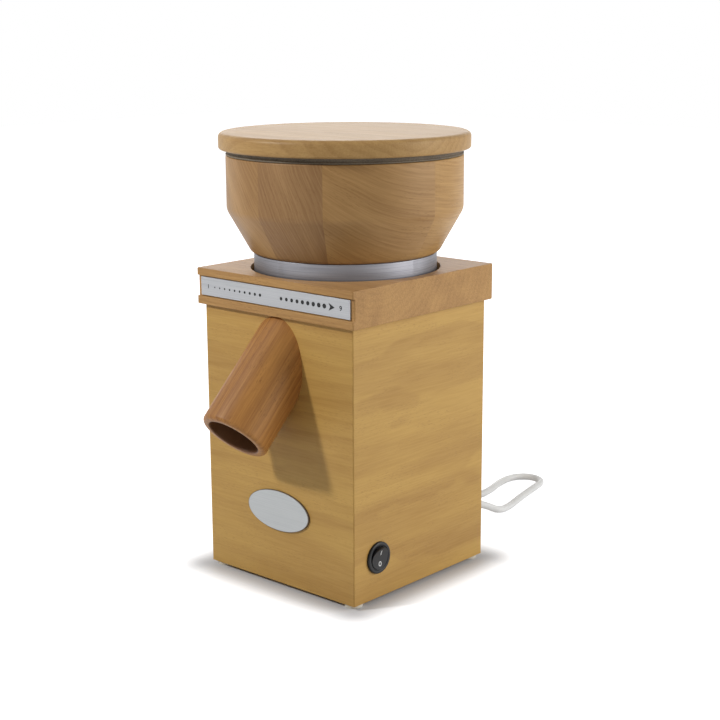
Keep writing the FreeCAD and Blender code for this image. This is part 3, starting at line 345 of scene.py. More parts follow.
# %% [markdown]
# ## Cover board
# The cover is one thick board with a round recess for the hopper and a saw-cut groove for the scale.
# The sharp lines that can be seen are lightly broken, because a knife edge catches no light.

# %% Cover
COVER_EASE = 0.5
GROOVE_REACH = 2.2
SHARP_ANGLE = math.radians(40)
cover_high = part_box("top_cover")[1]
cover_shape = merged_copy("top_cover")


def cover_edge(edge):
    """Picks the sharp edges that can be seen: the outside, the groove and the rim of the recess."""
    if edge.calc_face_angle(0) < SHARP_ANGLE:
        return False
    ends = [vert.co for vert in edge.verts]
    outside = all(max(abs(end.x), abs(end.y)) > cover_high[1] - GROOVE_REACH * MM for end in ends)
    return outside or all(end.z > cover_high[2] - HAIR for end in ends)


print("cover edges eased:", ease_edges(cover_shape, cover_edge, COVER_EASE))
add_piece("cover", cover_shape, "casing", "cover_wood", "top_cover")

# %% [markdown]
# ## Spout
# The spout is a turned tube, let into the front board at 45 degrees and cut flush under the cover. It
# is spun upright first, then tilted into its place in the mesh, and two planes trim it, because a
# plane cut keeps the tube's own clean rings.

# %% Spout tube
SPOUT_RADIUS = 25
SPOUT_BORE = 19
SPOUT_REACH = 61.5
SPOUT_BACK = 36
SPOUT_HEIGHT = 165
SPOUT_INNER_END = -56.2
COVER_GAP = 0.02
spout_shape = spun(
    [
        (SPOUT_BORE, -SPOUT_BACK), (SPOUT_RADIUS, -SPOUT_BACK),
        (SPOUT_RADIUS, SPOUT_REACH), (SPOUT_BORE, SPOUT_REACH),
    ],
    {2: 3.1, 3: 1.2}, steps=144, segments=6,
)
spout_place = Matrix.Translation((0, -half_side, SPOUT_HEIGHT * MM)) @ turned(135, "X")
move_shape(spout_shape, spout_place)
under_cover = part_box("front_panel")[1][2] - COVER_GAP * MM
cut_off(spout_shape, Vector((0, 0, under_cover)), Vector((0, 0, 1)))
cut_off(spout_shape, Vector((0, SPOUT_INNER_END * MM, 0)), Vector((0, 1, 0)))
face_outward(spout_shape)
add_piece("spout", spout_shape, "casing", "spout_wood", "spout_tube")
print("spout axis points to", [round(value, 3) for value in spout_place.to_3x3() @ Vector((0, 0, 1))])

# %% [markdown]
# ## Hopper, collar and lid
# The hopper is a bowl turned from glued staves: a straight upper wall, a cone below it and a funnel
# inside. The lid is a turned disc with a softly rounded upper edge, above a ring of rubber that is
# pressed so that its middle stands back. All of them are spun, each corner eased by a size of its own.

# %% Hopper bowl and collar
COLLAR_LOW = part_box("hopper_collar")[0][2] / MM
COLLAR_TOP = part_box("hopper_collar")[1][2] / MM
BOWL_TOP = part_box("hopper_bowl")[1][2] / MM
BOWL_RADIUS = 85.5
BOWL_INSIDE = 74
BOWL_FOOT = 68
BEND_HEIGHT = 31.3
FUNNEL_HEIGHT = 46
THROAT = 24
GUARD_SEAT = 30
SEAT_DEPTH = 2
bowl_shape = spun(
    [
        (GUARD_SEAT, COLLAR_TOP), (BOWL_FOOT, COLLAR_TOP), (BOWL_RADIUS, COLLAR_TOP + BEND_HEIGHT),
        (BOWL_RADIUS, BOWL_TOP), (BOWL_INSIDE, BOWL_TOP), (BOWL_INSIDE, COLLAR_TOP + FUNNEL_HEIGHT),
        (THROAT, COLLAR_TOP + SEAT_DEPTH), (GUARD_SEAT, COLLAR_TOP + SEAT_DEPTH),
    ],
    {1: 3.2, 2: 2.4, 3: 0.9, 4: 1.0, 5: 5}, steps=160, segments=5,
)
add_piece("bowl", bowl_shape, "hopper", "bowl_wood", "hopper_bowl")

COLLAR_RADIUS = 66.5
COLLAR_INSIDE = 61.98
WEB_BORE = 18
WEB_BOTTOM = 226
collar_shape = spun(
    [
        (COLLAR_INSIDE, COLLAR_LOW), (COLLAR_RADIUS, COLLAR_LOW), (COLLAR_RADIUS, COLLAR_TOP),
        (THROAT, COLLAR_TOP), (WEB_BORE, WEB_BOTTOM), (COLLAR_INSIDE, WEB_BOTTOM),
    ],
    {1: 0.5, 2: 0.6}, steps=160,
)
add_piece("collar", collar_shape, "hopper", "collar_alloy", "hopper_collar")
print("bowl and collar reach from", round(COLLAR_LOW, 1), "to", round(BOWL_TOP, 1), "mm")

# %% [markdown]
# The lid lies on the bowl's rim with its seal between them. The seal could be a plain ring, but
# rubber that is squeezed between two flat faces shows a dark hollow line, so its outline has a waist.

# %% Lid and seal
LID_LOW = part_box("lid_disc")[0][2] / MM
LID_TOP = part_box("lid_disc")[1][2] / MM
LID_RADIUS = 90.5
lid_shape = spun(
    [(0, LID_LOW), (LID_RADIUS, LID_LOW), (LID_RADIUS, LID_TOP), (0, LID_TOP)],
    {1: 1.75, 2: 3.5}, steps=160, segments=7,
)
add_piece("lid", lid_shape, "lid", "lid_wood", "lid_disc")

SEAL_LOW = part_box("lid_seal")[0][2] / MM
SEAL_INSIDE = 73.3
SEAL_RADIUS = 85.4
SEAL_WAIST = SEAL_RADIUS - 0.9
SEAL_LIP = 1.0
SEAL_SLOPE_END = 1.3
seal_shape = spun(
    [
        (SEAL_INSIDE, SEAL_LOW), (SEAL_RADIUS, SEAL_LOW), (SEAL_RADIUS, SEAL_LOW + SEAL_LIP),
        (SEAL_WAIST, SEAL_LOW + SEAL_SLOPE_END), (SEAL_WAIST, LID_LOW - SEAL_SLOPE_END),
        (SEAL_RADIUS, LID_LOW - SEAL_LIP), (SEAL_RADIUS, LID_LOW), (SEAL_INSIDE, LID_LOW),
    ],
    dict.fromkeys((1, 2, 5, 6), 0.3), steps=128, segments=3,
)
add_piece("seal", seal_shape, "lid", "seal_rubber", "lid_seal")
print("faces:", {name: len(pieces[name].data.polygons) for name in ("bowl", "collar", "lid", "seal")})

# %% [markdown]
# ## Scale plate and its marks
# A thin strip of brushed metal lies in the groove, printed with two rows of dots that grow from fine to
# coarse, an arrowhead, and a plain number at each end. Print has almost no thickness, so each mark is a
# very thin slab laid on the strip: that keeps its outline sharp from any distance, where a painted
# pattern in the material would blur.

# %% Scale plate
plate_low, plate_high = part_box("scale_plate")
PLATE_FACE = plate_low[1]
PLATE_MIDDLE = (plate_low[2] + plate_high[2]) / 2
PLATE_EASE = 0.25


def slab(low, high, width, segments=2):
    """A bmesh block between two corners with all its edges eased."""
    shape = bmesh.new()
    bmesh.ops.create_cube(shape, size=1)
    size = [high[axis] - low[axis] for axis in range(3)]
    centre = [(high[axis] + low[axis]) / 2 for axis in range(3)]
    bmesh.ops.scale(shape, vec=size, verts=shape.verts[:])
    bmesh.ops.translate(shape, vec=centre, verts=shape.verts[:])
    round_off(shape, shape.edges[:], width, segments)
    return shape


add_piece("scale_strip", slab(plate_low, plate_high, PLATE_EASE), "casing", "plate_metal", "scale_plate")
print("strip's face at y =", round(PLATE_FACE / MM, 2), "mm")

# %% Print helpers
PRINT = 0.06
SUNK = 0.01
INK_ANGLE = 25
LETTER_SHARE = 0.7
LETTER_WEIGHT = 0.08
LETTER_MERGE = 1e-6


def printed(shape, place):
    """Gives a flat shape its ink thickness and stands it on the strip, place millimetres along it."""
    thicken(shape, PRINT * MM)
    face_outward(shape)
    on_strip = Matrix.Translation((place * MM, PLATE_FACE + SUNK * MM, PLATE_MIDDLE))
    move_shape(shape, on_strip @ turned(90, "X"))
    return shape


def gather(shapes):
    """One bmesh from several."""
    whole = bmesh.new()
    for shape in shapes:
        step = bpy.data.meshes.new("part")
        shape.to_mesh(step)
        shape.free()
        whole.from_mesh(step)
        bpy.data.meshes.remove(step)
    return whole


def dot(radius):
    shape = bmesh.new()
    bmesh.ops.create_circle(shape, cap_ends=True, segments=20, radius=radius * MM)
    return shape


def lettering(text, height):
    """A word as a flat bmesh of the given letter height, centred."""
    words = bpy.data.curves.new("words", "FONT")
    words.body = text
    words.size = height * MM / LETTER_SHARE
    words.offset = LETTER_WEIGHT * MM
    words.align_x = "CENTER"
    words.align_y = "CENTER"
    holder = bpy.data.objects.new("words", words)
    scene.collection.objects.link(holder)
    bpy.context.view_layer.update()
    flat = bpy.data.meshes.new_from_object(holder.evaluated_get(bpy.context.evaluated_depsgraph_get()))
    shape = bmesh.new()
    shape.from_mesh(flat)
    bmesh.ops.remove_doubles(shape, verts=shape.verts[:], dist=LETTER_MERGE)
    bpy.data.objects.remove(holder)
    bpy.data.curves.remove(words)
    bpy.data.meshes.remove(flat)
    return shape


print("ink thickness:", PRINT, "mm")

# %% Marks on the strip
DOT_ROWS = (
    {"count": 10, "places": (-58.6, -12.2), "radii": (0.55, 1.15)},
    {"count": 9, "places": (8.6, 49.6), "radii": (1.25, 1.7)},
)
ARROW = [(-2.6, 2.7), (3.0, 0), (-2.6, -2.7), (-1.2, 0)]
ARROW_PLACE = 56.2
NUMBERS = (("1", -65.4, 2.9), ("9", 64.6, 3.4))
marks = []
for row in DOT_ROWS:
    for index in range(row["count"]):
        share = index / (row["count"] - 1)
        place, radius = (low + (high - low) * share for low, high in (row["places"], row["radii"]))
        marks.append(printed(dot(radius), place))
arrow = bmesh.new()
arrow.faces.new([arrow.verts.new((x * MM, y * MM, 0)) for x, y in ARROW])
marks.append(printed(arrow, ARROW_PLACE))
for text, place, height in NUMBERS:
    marks.append(printed(lettering(text, height), place))
add_piece("scale_marks", gather(marks), "casing", "switch_black", smooth_angle=INK_ANGLE)
print("marks on the strip:", len(marks))

# %% [markdown]
# ## Badge
# The oval badge stays bare. It is a disc drawn out to an oval, given its thickness and a rolled edge,
# which is what makes stamped sheet metal look stamped.

# %% Oval badge
BADGE_ROLL = 0.6
badge_low, badge_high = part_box("badge_plate")
badge_half = ((badge_high[0] - badge_low[0]) / 2, (badge_high[2] - badge_low[2]) / 2)
badge_middle = (badge_low[2] + badge_high[2]) / 2
badge_shape = bmesh.new()
bmesh.ops.create_circle(badge_shape, cap_ends=True, segments=128, radius=1)
thicken(badge_shape, badge_high[1] - badge_low[1])
bmesh.ops.scale(badge_shape, vec=(*badge_half, 1), verts=badge_shape.verts[:])
move_shape(badge_shape, Matrix.Translation((0, badge_high[1], badge_middle)) @ turned(90, "X"))
face_outward(badge_shape)


def front_edge(edge):
    return all(vert.co.y < badge_low[1] + HAIR for vert in edge.verts)


ease_edges(badge_shape, front_edge, BADGE_ROLL, segments=3)
add_piece("badge", badge_shape, "casing", "badge_metal", "badge_plate")
print("badge half sizes:", [round(value / MM, 1) for value in badge_half])

# %% [markdown]
# ## Rocker switch
# A round black switch: a bezel with a stepped rim, and a hollowed rocker that carries an I and an O.
# The bezel is spun about the switch's axis and then laid on its side. The marks, a thin slab and a
# thin ring, lie on the rocker's own hollow, tilted as it is, so they ride with it when it is pressed.

# %% Switch bezel
switch_low, switch_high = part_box("switch_housing")
SWITCH_CENTRE = Vector((
    half_side, (switch_low[1] + switch_high[1]) / 2, (switch_low[2] + switch_high[2]) / 2,
))
BEZEL = 2.0
BEZEL_RADIUS = 11.6
BARREL = 10
BARREL_END = -24
WELL = 8.5
bezel_shape = spun(
    [
        (0, BARREL_END), (BARREL, BARREL_END), (BARREL, 0), (BEZEL_RADIUS, 0), (BEZEL_RADIUS, BEZEL),
        (9.3, BEZEL), (8.9, BEZEL - 0.5), (WELL, BEZEL - 0.5), (WELL, BEZEL - 6.5), (0, BEZEL - 6.5),
    ],
    {4: 1.0, 5: 0.25, 6: 0.1}, steps=96, segments=4,
)
move_shape(bezel_shape, Matrix.Translation(SWITCH_CENTRE) @ turned(90, "Y"))
add_piece("switch_bezel", bezel_shape, "casing", "switch_black", "switch_housing")
print("switch centre:", [round(value / MM, 1) for value in SWITCH_CENTRE])

# %% Rocker marks
ROCKER_RADIUS = 8.2
HOLLOW_RADIUS = 3 * ROCKER_RADIUS
HOLLOW_LOW = 0.2
TILT = 8
MARK_PLACE = 4.3
MARK_LIFT = 0.03
BAR_HALF = (0.36, 1.9)
BAR_EASE = 0.02
RING_BORE = 1.15
RING_RADIUS = 1.75
RING_OVAL = (0.86, 1.05, 1)
rocker_place = (
    Matrix.Translation(SWITCH_CENTRE + Vector((BEZEL * MM, 0, 0))) @ turned(TILT, "Y") @ turned(90, "Y")
)


def on_rocker(up):
    """The place of a mark on the rocker's hollow, up millimetres above its middle, letters upright."""
    lean = math.asin(up / HOLLOW_RADIUS)
    depth = HOLLOW_LOW + HOLLOW_RADIUS * (1 - math.cos(lean))
    return (
        rocker_place @ Matrix.Translation((-up * MM, 0, (depth + MARK_LIFT) * MM))
        @ Matrix.Rotation(lean, 4, "Y") @ turned(90, "Z")
    )


bar = slab(
    (-BAR_HALF[0] * MM, -BAR_HALF[1] * MM, 0), (BAR_HALF[0] * MM, BAR_HALF[1] * MM, PRINT * MM),
    BAR_EASE, segments=1,
)
move_shape(bar, on_rocker(MARK_PLACE))
ring = spun([(RING_BORE, 0), (RING_RADIUS, 0), (RING_RADIUS, PRINT), (RING_BORE, PRINT)], {}, steps=40)
bmesh.ops.scale(ring, vec=RING_OVAL, verts=ring.verts[:])
move_shape(ring, on_rocker(-MARK_PLACE))
add_piece("rocker_marks", gather([bar, ring]), "rocker", "cord_white", smooth_angle=INK_ANGLE)
print("rocker marks", 2 * MARK_PLACE, "mm apart")

# %% [markdown]
# ## Strain relief, plug and tie
# Where the lead leaves the rear board a ribbed sleeve keeps it from being bent sharply. The round plug
# has a waisted grip with ridges. Both are spun about the lead's own line. The tie is a flat band round
# the coil: a rectangle with round corners, of which only a rim one wall thick is kept, is drawn out to
# the band's width.

# %% Strain relief
RELIEF_START = Vector((30 * MM, half_side, 22 * MM))
SLEEVE_ANGLE = 45
RIBS = 6
RIB_PITCH = 4.0
RIB_TAPER = 0.078
along_lead = turned(-90, "X")
relief_corners = [(3.1, -12), (6.2, -12), (6.2, 0), (9, 0), (9, 3), (6.5, 3)]
for index in range(RIBS):
    start = 6 + index * RIB_PITCH
    outer = 6.4 - (start - 3) * RIB_TAPER
    relief_corners += [
        (outer, start), (outer - 0.9, start + 0.4),
        (outer - 0.95, start + 1.4), (outer - 0.12, start + 1.8),
    ]
relief_corners += [(4.2, 31.6), (3.5, 32.5), (3.1, 32.5)]
relief_shape = spun(relief_corners, {3: 0.3, 4: 1.0}, steps=48, segments=3)
move_shape(relief_shape, Matrix.Translation(RELIEF_START) @ along_lead)
add_piece(
    "lead_sleeve", relief_shape, "casing", "cord_white", "strain_relief", smooth_angle=SLEEVE_ANGLE,
)
print("sleeve corners:", len(relief_corners))

# %% Plug
PLUG_START = Vector(PLUG_ROUTE[-1]) * MM
GRIP_RIBS = 5
GRIP_PITCH = 4.2
RIDGE_TAPER = 0.055
GROOVE_TAPER = 0.05
plug_corners = [(3.05, 0.2), (4.0, 0)]
for index in range(GRIP_RIBS):
    start = 3.0 + index * GRIP_PITCH
    groove = 3.4 + start * GROOVE_TAPER
    plug_corners += [
        (4.1 + start * RIDGE_TAPER, start), (groove, start + 0.5),
        (groove, start + 1.6), (4.2 + start * RIDGE_TAPER, start + 2.1),
    ]
plug_corners += [
    (5.5, 24.6), (10.6, 25.4), (12.6, 28.5), (14.3, 33), (15.4, 36), (18.5, 38.5), (18.5, 59), (0, 59),
]
count = len(plug_corners)
plug_shape = spun(plug_corners, {count - 7: 0.8, count - 3: 1.2, count - 2: 1.5}, steps=72, segments=3)
move_shape(plug_shape, Matrix.Translation(PLUG_START) @ along_lead)
plug = add_piece("plug", plug_shape, "casing", "plug_white", "plug_body", smooth_angle=SLEEVE_ANGLE)
print("plug corners:", count)

# %% Tie of the coil
TIE_WALL = 0.8
TIE_ROUND = 2.2
tie_low, tie_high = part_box("cord_tie")
tie_size = [tie_high[axis] - tie_low[axis] for axis in range(3)]
tie_shape = bmesh.new()
bmesh.ops.create_grid(tie_shape, x_segments=1, y_segments=1, size=0.5)
bmesh.ops.scale(tie_shape, vec=(tie_size[1], tie_size[2], 1), verts=tie_shape.verts[:])
round_off(tie_shape, tie_shape.verts[:], TIE_ROUND, 5, affect="VERTICES")
bmesh.ops.inset_region(
    tie_shape, faces=tie_shape.faces[:], thickness=TIE_WALL * MM, use_even_offset=True, use_boundary=True,
)
middle = [face for face in tie_shape.faces if len(face.verts) > 4]
bmesh.ops.delete(tie_shape, geom=middle, context="FACES")
thicken(tie_shape, tie_size[0])
face_outward(tie_shape)
tie_place = Matrix.Translation((tie_low[0], (tie_low[1] + tie_high[1]) / 2, (tie_low[2] + tie_high[2]) / 2))
tie_turn = Matrix(((0, 0, 1, 0), (1, 0, 0, 0), (0, 1, 0, 0), (0, 0, 0, 1)))
move_shape(tie_shape, tie_place @ tie_turn)
tie = add_piece("coil_tie", tie_shape, "casing", "tie_black", "cord_tie")

print("tie faces:", len(tie.data.polygons))

# %% [markdown]
# ## Shader helpers
# Every finish below is made of nodes that read the piece's own coordinates, so it stays on the piece
# when the piece moves. A few short functions keep the node code readable: one adds a node, one feeds a
# socket with either a number or another node's output, and the rest name common steps.

# %% Node helpers
MIX_FIRST = 6
MIX_SECOND = 7
MIX_RESULT = 2


def feed(tree, socket, value):
    """Connects an output to a socket, or sets the socket to a plain value."""
    if isinstance(value, bpy.types.NodeSocket):
        tree.links.new(value, socket)
    else:
        socket.default_value = value


def add_node(tree, kind, inputs=None, **settings):
    made = tree.nodes.new(kind)
    for name, value in settings.items():
        setattr(made, name, value)
    for key, value in (inputs or {}).items():
        feed(tree, made.inputs[key], value)
    return made


def maths(tree, operation, *values, clamp=False):
    made = add_node(tree, "ShaderNodeMath", operation=operation, use_clamp=clamp)
    for index, value in enumerate(values):
        feed(tree, made.inputs[index], value)
    return made.outputs[0]


def times(tree, first, second):
    return maths(tree, "MULTIPLY", first, second)


def varied(tree, base, pattern, amount, clamp=False):
    """A base value that a pattern, whose middle is a half, moves up and down."""
    return maths(tree, "MULTIPLY_ADD", maths(tree, "SUBTRACT", pattern, 0.5), amount, base, clamp=clamp)


def far_from_axis(tree, first, second):
    return maths(tree, "SQRT", maths(tree, "ADD", times(tree, first, first), times(tree, second, second)))


def vector_maths(tree, operation, *values):
    """A step on whole vectors; a length comes out as one number."""
    made = add_node(tree, "ShaderNodeVectorMath", operation=operation)
    for index, value in enumerate(values):
        feed(tree, made.inputs[index], value)
    return made.outputs["Value" if operation == "LENGTH" else "Vector"]


def split(tree, vector):
    return add_node(tree, "ShaderNodeSeparateXYZ", {"Vector": vector}).outputs


def join(tree, x, y, z=0.0):
    return add_node(tree, "ShaderNodeCombineXYZ", {"X": x, "Y": y, "Z": z}).outputs[0]


def stretched(tree, vector, scale, shift=(0, 0, 0), turn=(0, 0, 0)):
    inputs = {"Vector": vector, "Location": shift, "Rotation": turn, "Scale": scale}
    return add_node(tree, "ShaderNodeMapping", inputs).outputs[0]


def noise(tree, vector, scale=1.0, detail=3.0, roughness=0.5, distortion=0.0):
    return add_node(tree, "ShaderNodeTexNoise", {
        "Vector": vector, "Scale": scale, "Detail": detail, "Roughness": roughness, "Distortion": distortion,
    }).outputs["Fac"]


def span(tree, value, low, high, out_low=0.0, out_high=1.0):
    """A soft step: between low and high the result goes from out_low to out_high."""
    return add_node(tree, "ShaderNodeMapRange", {
        "Value": value, "From Min": low, "From Max": high, "To Min": out_low, "To Max": out_high,
    }, interpolation_type="SMOOTHSTEP").outputs["Result"]


def ring_line(tree, count, start, peak):
    """A growth ring: the tone climbs from start to peak, then falls back before the next ring."""
    phase = maths(tree, "FRACT", count)
    return maths(tree, "SUBTRACT", span(tree, phase, start, peak), span(tree, phase, peak, 1.0))


def blend_colour(tree, share, first, second):
    made = add_node(tree, "ShaderNodeMix", data_type="RGBA", blend_type="MIX", clamp_factor=True)
    feed(tree, made.inputs[0], share)
    feed(tree, made.inputs[MIX_FIRST], first)
    feed(tree, made.inputs[MIX_SECOND], second)
    return made.outputs[MIX_RESULT]


def colour(red, green, blue):
    """A colour as a painter reads it, 0 to 255, as the linear numbers that a shader wants."""
    parts = []
    for value in (red, green, blue):
        share = value / 255
        parts.append(share / 12.92 if share <= 0.04045 else ((share + 0.055) / 1.055) ** 2.4)
    return (*parts, 1.0)


print("node helpers ready")

# %% Group and material helpers


def new_group(name, inputs, outputs):
    """An empty shader node group with named sockets; returns its tree, its input and its output."""
    tree = bpy.data.node_groups.new(name, "ShaderNodeTree")
    for label, kind, default in inputs:
        socket = tree.interface.new_socket(label, in_out="INPUT", socket_type=kind)
        if default is not None:
            socket.default_value = default
    for label, kind in outputs:
        tree.interface.new_socket(label, in_out="OUTPUT", socket_type=kind)
    return tree, tree.nodes.new("NodeGroupInput").outputs, tree.nodes.new("NodeGroupOutput").inputs


def use_group(tree, group, inputs):
    return add_node(tree, "ShaderNodeGroup", inputs, node_tree=group).outputs


def inside_of(material):
    """A material's tree, its principled shader and the coordinates of the piece that wears it."""
    tree = material.node_tree
    return tree, tree.nodes["Principled BSDF"], tree.nodes.new("ShaderNodeTexCoord").outputs["Object"]


def new_material(name, **constants):
    """A material with its principled shader, whose plain numbers are set on its own sockets."""
    material = bpy.data.materials.new(name)
    material.use_nodes = True
    tree, shader, where = inside_of(material)
    for label, value in constants.items():
        shader.inputs[label.replace("_", " ")].default_value = value
    return material, tree, shader, where


def put_on(tree, shader, finish, strength, distance):
    """Feeds a finish to the shader: its colour, its roughness, and its height as a bump."""
    feed(tree, shader.inputs["Base Color"], finish["Color"])
    feed(tree, shader.inputs["Roughness"], finish["Roughness"])
    bump = add_node(tree, "ShaderNodeBump", {
        "Height": finish["Height"], "Strength": strength, "Distance": distance,
    })
    feed(tree, shader.inputs["Normal"], bump.outputs["Normal"])


def overlay(tree, shader, share, tint):
    """Lays one more colour over what the shader's base colour gets already."""
    under = shader.inputs["Base Color"].links[0].from_socket
    feed(tree, shader.inputs["Base Color"], blend_colour(tree, share, under, tint))


print("group and material helpers ready")

# %% [markdown]
# ## One grain for all the wood
# Wood is a stack of growth rings round the tree's heart, cut open by a saw. The group below takes
# coordinates whose X runs along the trunk, works out how far a point lies from a bent heart line, and
# puts out the rings, the fine fibres, the short rays that beech shows as brown flecks, and slow clouds
# of tone. Each wooden piece turns and shifts the coordinates before it asks the group, so no two
# boards look sawn from the same place.

# %% Grain group
FLOAT = "NodeSocketFloat"
VECTOR = "NodeSocketVector"
COLOUR = "NodeSocketColor"
BEND_STRETCH = (5, 16, 16)
RIPPLE_STRETCH = (22, 60, 60)
FIBRE_STRETCH = (38, 900, 900)
RAY_STRETCH = (210, 1250, 1250)
PATCH_STRETCH = (30, 90, 90)
CLOUD_STRETCH = (4, 38, 38)
RIPPLE = 0.7

grain, grain_in, grain_out = new_group(
    "Wood grain",
    [("Vector", VECTOR, None), ("Ring width", FLOAT, 0.006), ("Wander", FLOAT, 0.02), ("Seed", FLOAT, 0.0)],
    [("Rings", FLOAT), ("Fibres", FLOAT), ("Rays", FLOAT), ("Clouds", FLOAT)],
)
seeded = vector_maths(grain, "ADD", grain_in["Vector"], join(grain, grain_in["Seed"], grain_in["Seed"]))
bend = noise(grain, stretched(grain, seeded, BEND_STRETCH), detail=2.0, roughness=0.45)
ripple = noise(grain, stretched(grain, seeded, RIPPLE_STRETCH), detail=2.0)
apart = split(grain, grain_in["Vector"])
heart_y = varied(grain, apart["Y"], bend, grain_in["Wander"])
count = maths(grain, "DIVIDE", far_from_axis(grain, heart_y, apart["Z"]), grain_in["Ring width"])
count = maths(grain, "MULTIPLY_ADD", ripple, RIPPLE, count)
feed(grain, grain_out["Rings"], ring_line(grain, count, 0.25, 0.9))
fibres = noise(grain, stretched(grain, seeded, FIBRE_STRETCH), detail=4.0, roughness=0.6)
feed(grain, grain_out["Fibres"], fibres)
cell = add_node(grain, "ShaderNodeTexVoronoi", {
    "Vector": stretched(grain, seeded, RAY_STRETCH), "Scale": 1.0, "Randomness": 1.0,
})
short = span(grain, cell.outputs["Distance"], 0.16, 0.34, 1.0, 0.0)
patchy = span(grain, noise(grain, stretched(grain, seeded, PATCH_STRETCH), detail=1.0), 0.4, 0.62)
feed(grain, grain_out["Rays"], times(grain, short, patchy))
clouds = noise(grain, stretched(grain, seeded, CLOUD_STRETCH), distortion=0.4)
feed(grain, grain_out["Clouds"], clouds)
print("grain group nodes:", len(grain.nodes))

# %% [markdown]
# ## From grain to finished timber
# A second group turns the four grain values into a colour, a roughness and a height. Dark late wood,
# thin fibres and rays are mixed over a light ground, and clouds shift the tone. The height is low:
# oiled and sanded wood is nearly smooth, and only its pores catch the light.

# %% Timber group
FINISH_OUTPUTS = [("Color", COLOUR), ("Roughness", FLOAT), ("Height", FLOAT)]
timber, timber_in, timber_out = new_group(
    "Oiled timber",
    [
        ("Rings", FLOAT, 0.5), ("Fibres", FLOAT, 0.5), ("Rays", FLOAT, 0.0), ("Clouds", FLOAT, 0.5),
        ("Light", COLOUR, None), ("Dark", COLOUR, None), ("Ray colour", COLOUR, None),
        ("Ring strength", FLOAT, 0.5), ("Fibre strength", FLOAT, 0.4), ("Ray strength", FLOAT, 0.3),
        ("Cloud strength", FLOAT, 0.4), ("Gloss", FLOAT, 0.45),
    ],
    FINISH_OUTPUTS,
)
depth = times(timber, timber_in["Rings"], timber_in["Ring strength"])
fibre_part = times(timber, span(timber, timber_in["Fibres"], 0.3, 0.72), timber_in["Fibre strength"])
cloud_part = times(timber, span(timber, timber_in["Clouds"], 0.32, 0.7), timber_in["Cloud strength"])
depth = maths(timber, "ADD", maths(timber, "ADD", depth, fibre_part), cloud_part, clamp=True)
ground = blend_colour(timber, depth, timber_in["Light"], timber_in["Dark"])
ray_part = times(timber, timber_in["Rays"], timber_in["Ray strength"])
feed(timber, timber_out["Color"], blend_colour(timber, ray_part, ground, timber_in["Ray colour"]))
feed(timber, timber_out["Roughness"], varied(
    timber, timber_in["Gloss"], timber_in["Fibres"], 0.25, clamp=True,
))
pores = maths(timber, "MULTIPLY_ADD", timber_in["Rays"], -0.5, timber_in["Fibres"])
feed(timber, timber_out["Height"], maths(timber, "MULTIPLY_ADD", timber_in["Rings"], -0.15, pores))
print("timber group nodes:", len(timber.nodes))

# %% Timbers
QUARTER = math.pi / 2
UNTURNED = (0, 0, 0)
BUMP_DEPTH = 0.0002
TIMBER_BUMP = 0.25


def wood_material(
    name, light, dark, ray, turn=UNTURNED, shift=(0, 0.09, 0.06), ring=0.008, wander=0.03, seed=0.0,
    ring_strength=0.35, fibre_strength=0.3, ray_strength=0.25, cloud_strength=0.35, gloss=0.48,
    specular=0.3,
):
    """An oiled timber; turn lays the trunk's X along the piece and shift moves the heart out of it."""
    material, tree, shader, where = new_material(name, Specular_IOR_Level=specular)
    laid = stretched(tree, where, (1, 1, 1), shift, turn)
    cut = use_group(tree, grain, {"Vector": laid, "Ring width": ring, "Wander": wander, "Seed": seed})
    finish = use_group(tree, timber, {
        "Rings": cut["Rings"], "Fibres": cut["Fibres"], "Rays": cut["Rays"], "Clouds": cut["Clouds"],
        "Light": colour(*light), "Dark": colour(*dark), "Ray colour": colour(*ray),
        "Ring strength": ring_strength, "Fibre strength": fibre_strength, "Ray strength": ray_strength,
        "Cloud strength": cloud_strength, "Gloss": gloss,
    })
    put_on(tree, shader, finish, TIMBER_BUMP, BUMP_DEPTH)
    return material


OCHRE = (200, 160, 87)
OCHRE_DARK = (159, 117, 59)
RAY_BROWN = (128, 86, 48)
casing_front = wood_material(
    "casing_front_wood", OCHRE, OCHRE_DARK, RAY_BROWN, shift=(0.3, 0.12, -0.03), ring=0.012, wander=0.03,
    seed=1.7, ring_strength=0.16, fibre_strength=0.2, ray_strength=0.25, cloud_strength=0.45,
)
casing_side = wood_material(
    "casing_side_wood", OCHRE, OCHRE_DARK, RAY_BROWN, turn=(0, 0, QUARTER), shift=(0.1, 0.11, -0.12),
    ring=0.014, wander=0.035, seed=4.2, ring_strength=0.2, fibre_strength=0.2, ray_strength=0.25,
    cloud_strength=0.4,
)
cover_wood = wood_material(
    "cover_wood", (193, 150, 94), (146, 106, 64), (104, 68, 38), shift=(0.2, 0.05, -0.26), ring=0.005,
    wander=0.02, seed=7.9, ring_strength=0.12, fibre_strength=0.35, ray_strength=0.45,
    cloud_strength=0.3, gloss=0.46, specular=0.2,
)
lid_wood = wood_material(
    "lid_wood", (189, 152, 97), (150, 111, 64), (108, 74, 40), shift=(0.2, 0.03, -0.35), ring=0.006,
    wander=0.03, seed=11.3, ring_strength=0.2, fibre_strength=0.3, ray_strength=0.2,
    cloud_strength=0.3, gloss=0.44, specular=0.22,
)
inner_wood = wood_material(
    "inner_wood", (206, 168, 120), (170, 126, 80), RAY_BROWN, turn=(0, QUARTER, 0), seed=15.0,
)
SPOUT_TURN = (math.radians(135), 0, -QUARTER)
SPOUT_CENTRED = Vector((0.0654, 0, 0.16794))
spout_wood = wood_material(
    "spout_wood", (186, 132, 68), (138, 88, 42), (100, 60, 28), turn=SPOUT_TURN,
    shift=SPOUT_CENTRED + Vector((0, 0.03, 0.045)), ring=0.005, wander=0.015, seed=21.0,
    ring_strength=0.3, fibre_strength=0.4, ray_strength=0.4, cloud_strength=0.3,
)
print("timbers:", [material.name for material in bpy.data.materials if material.name.endswith("_wood")])

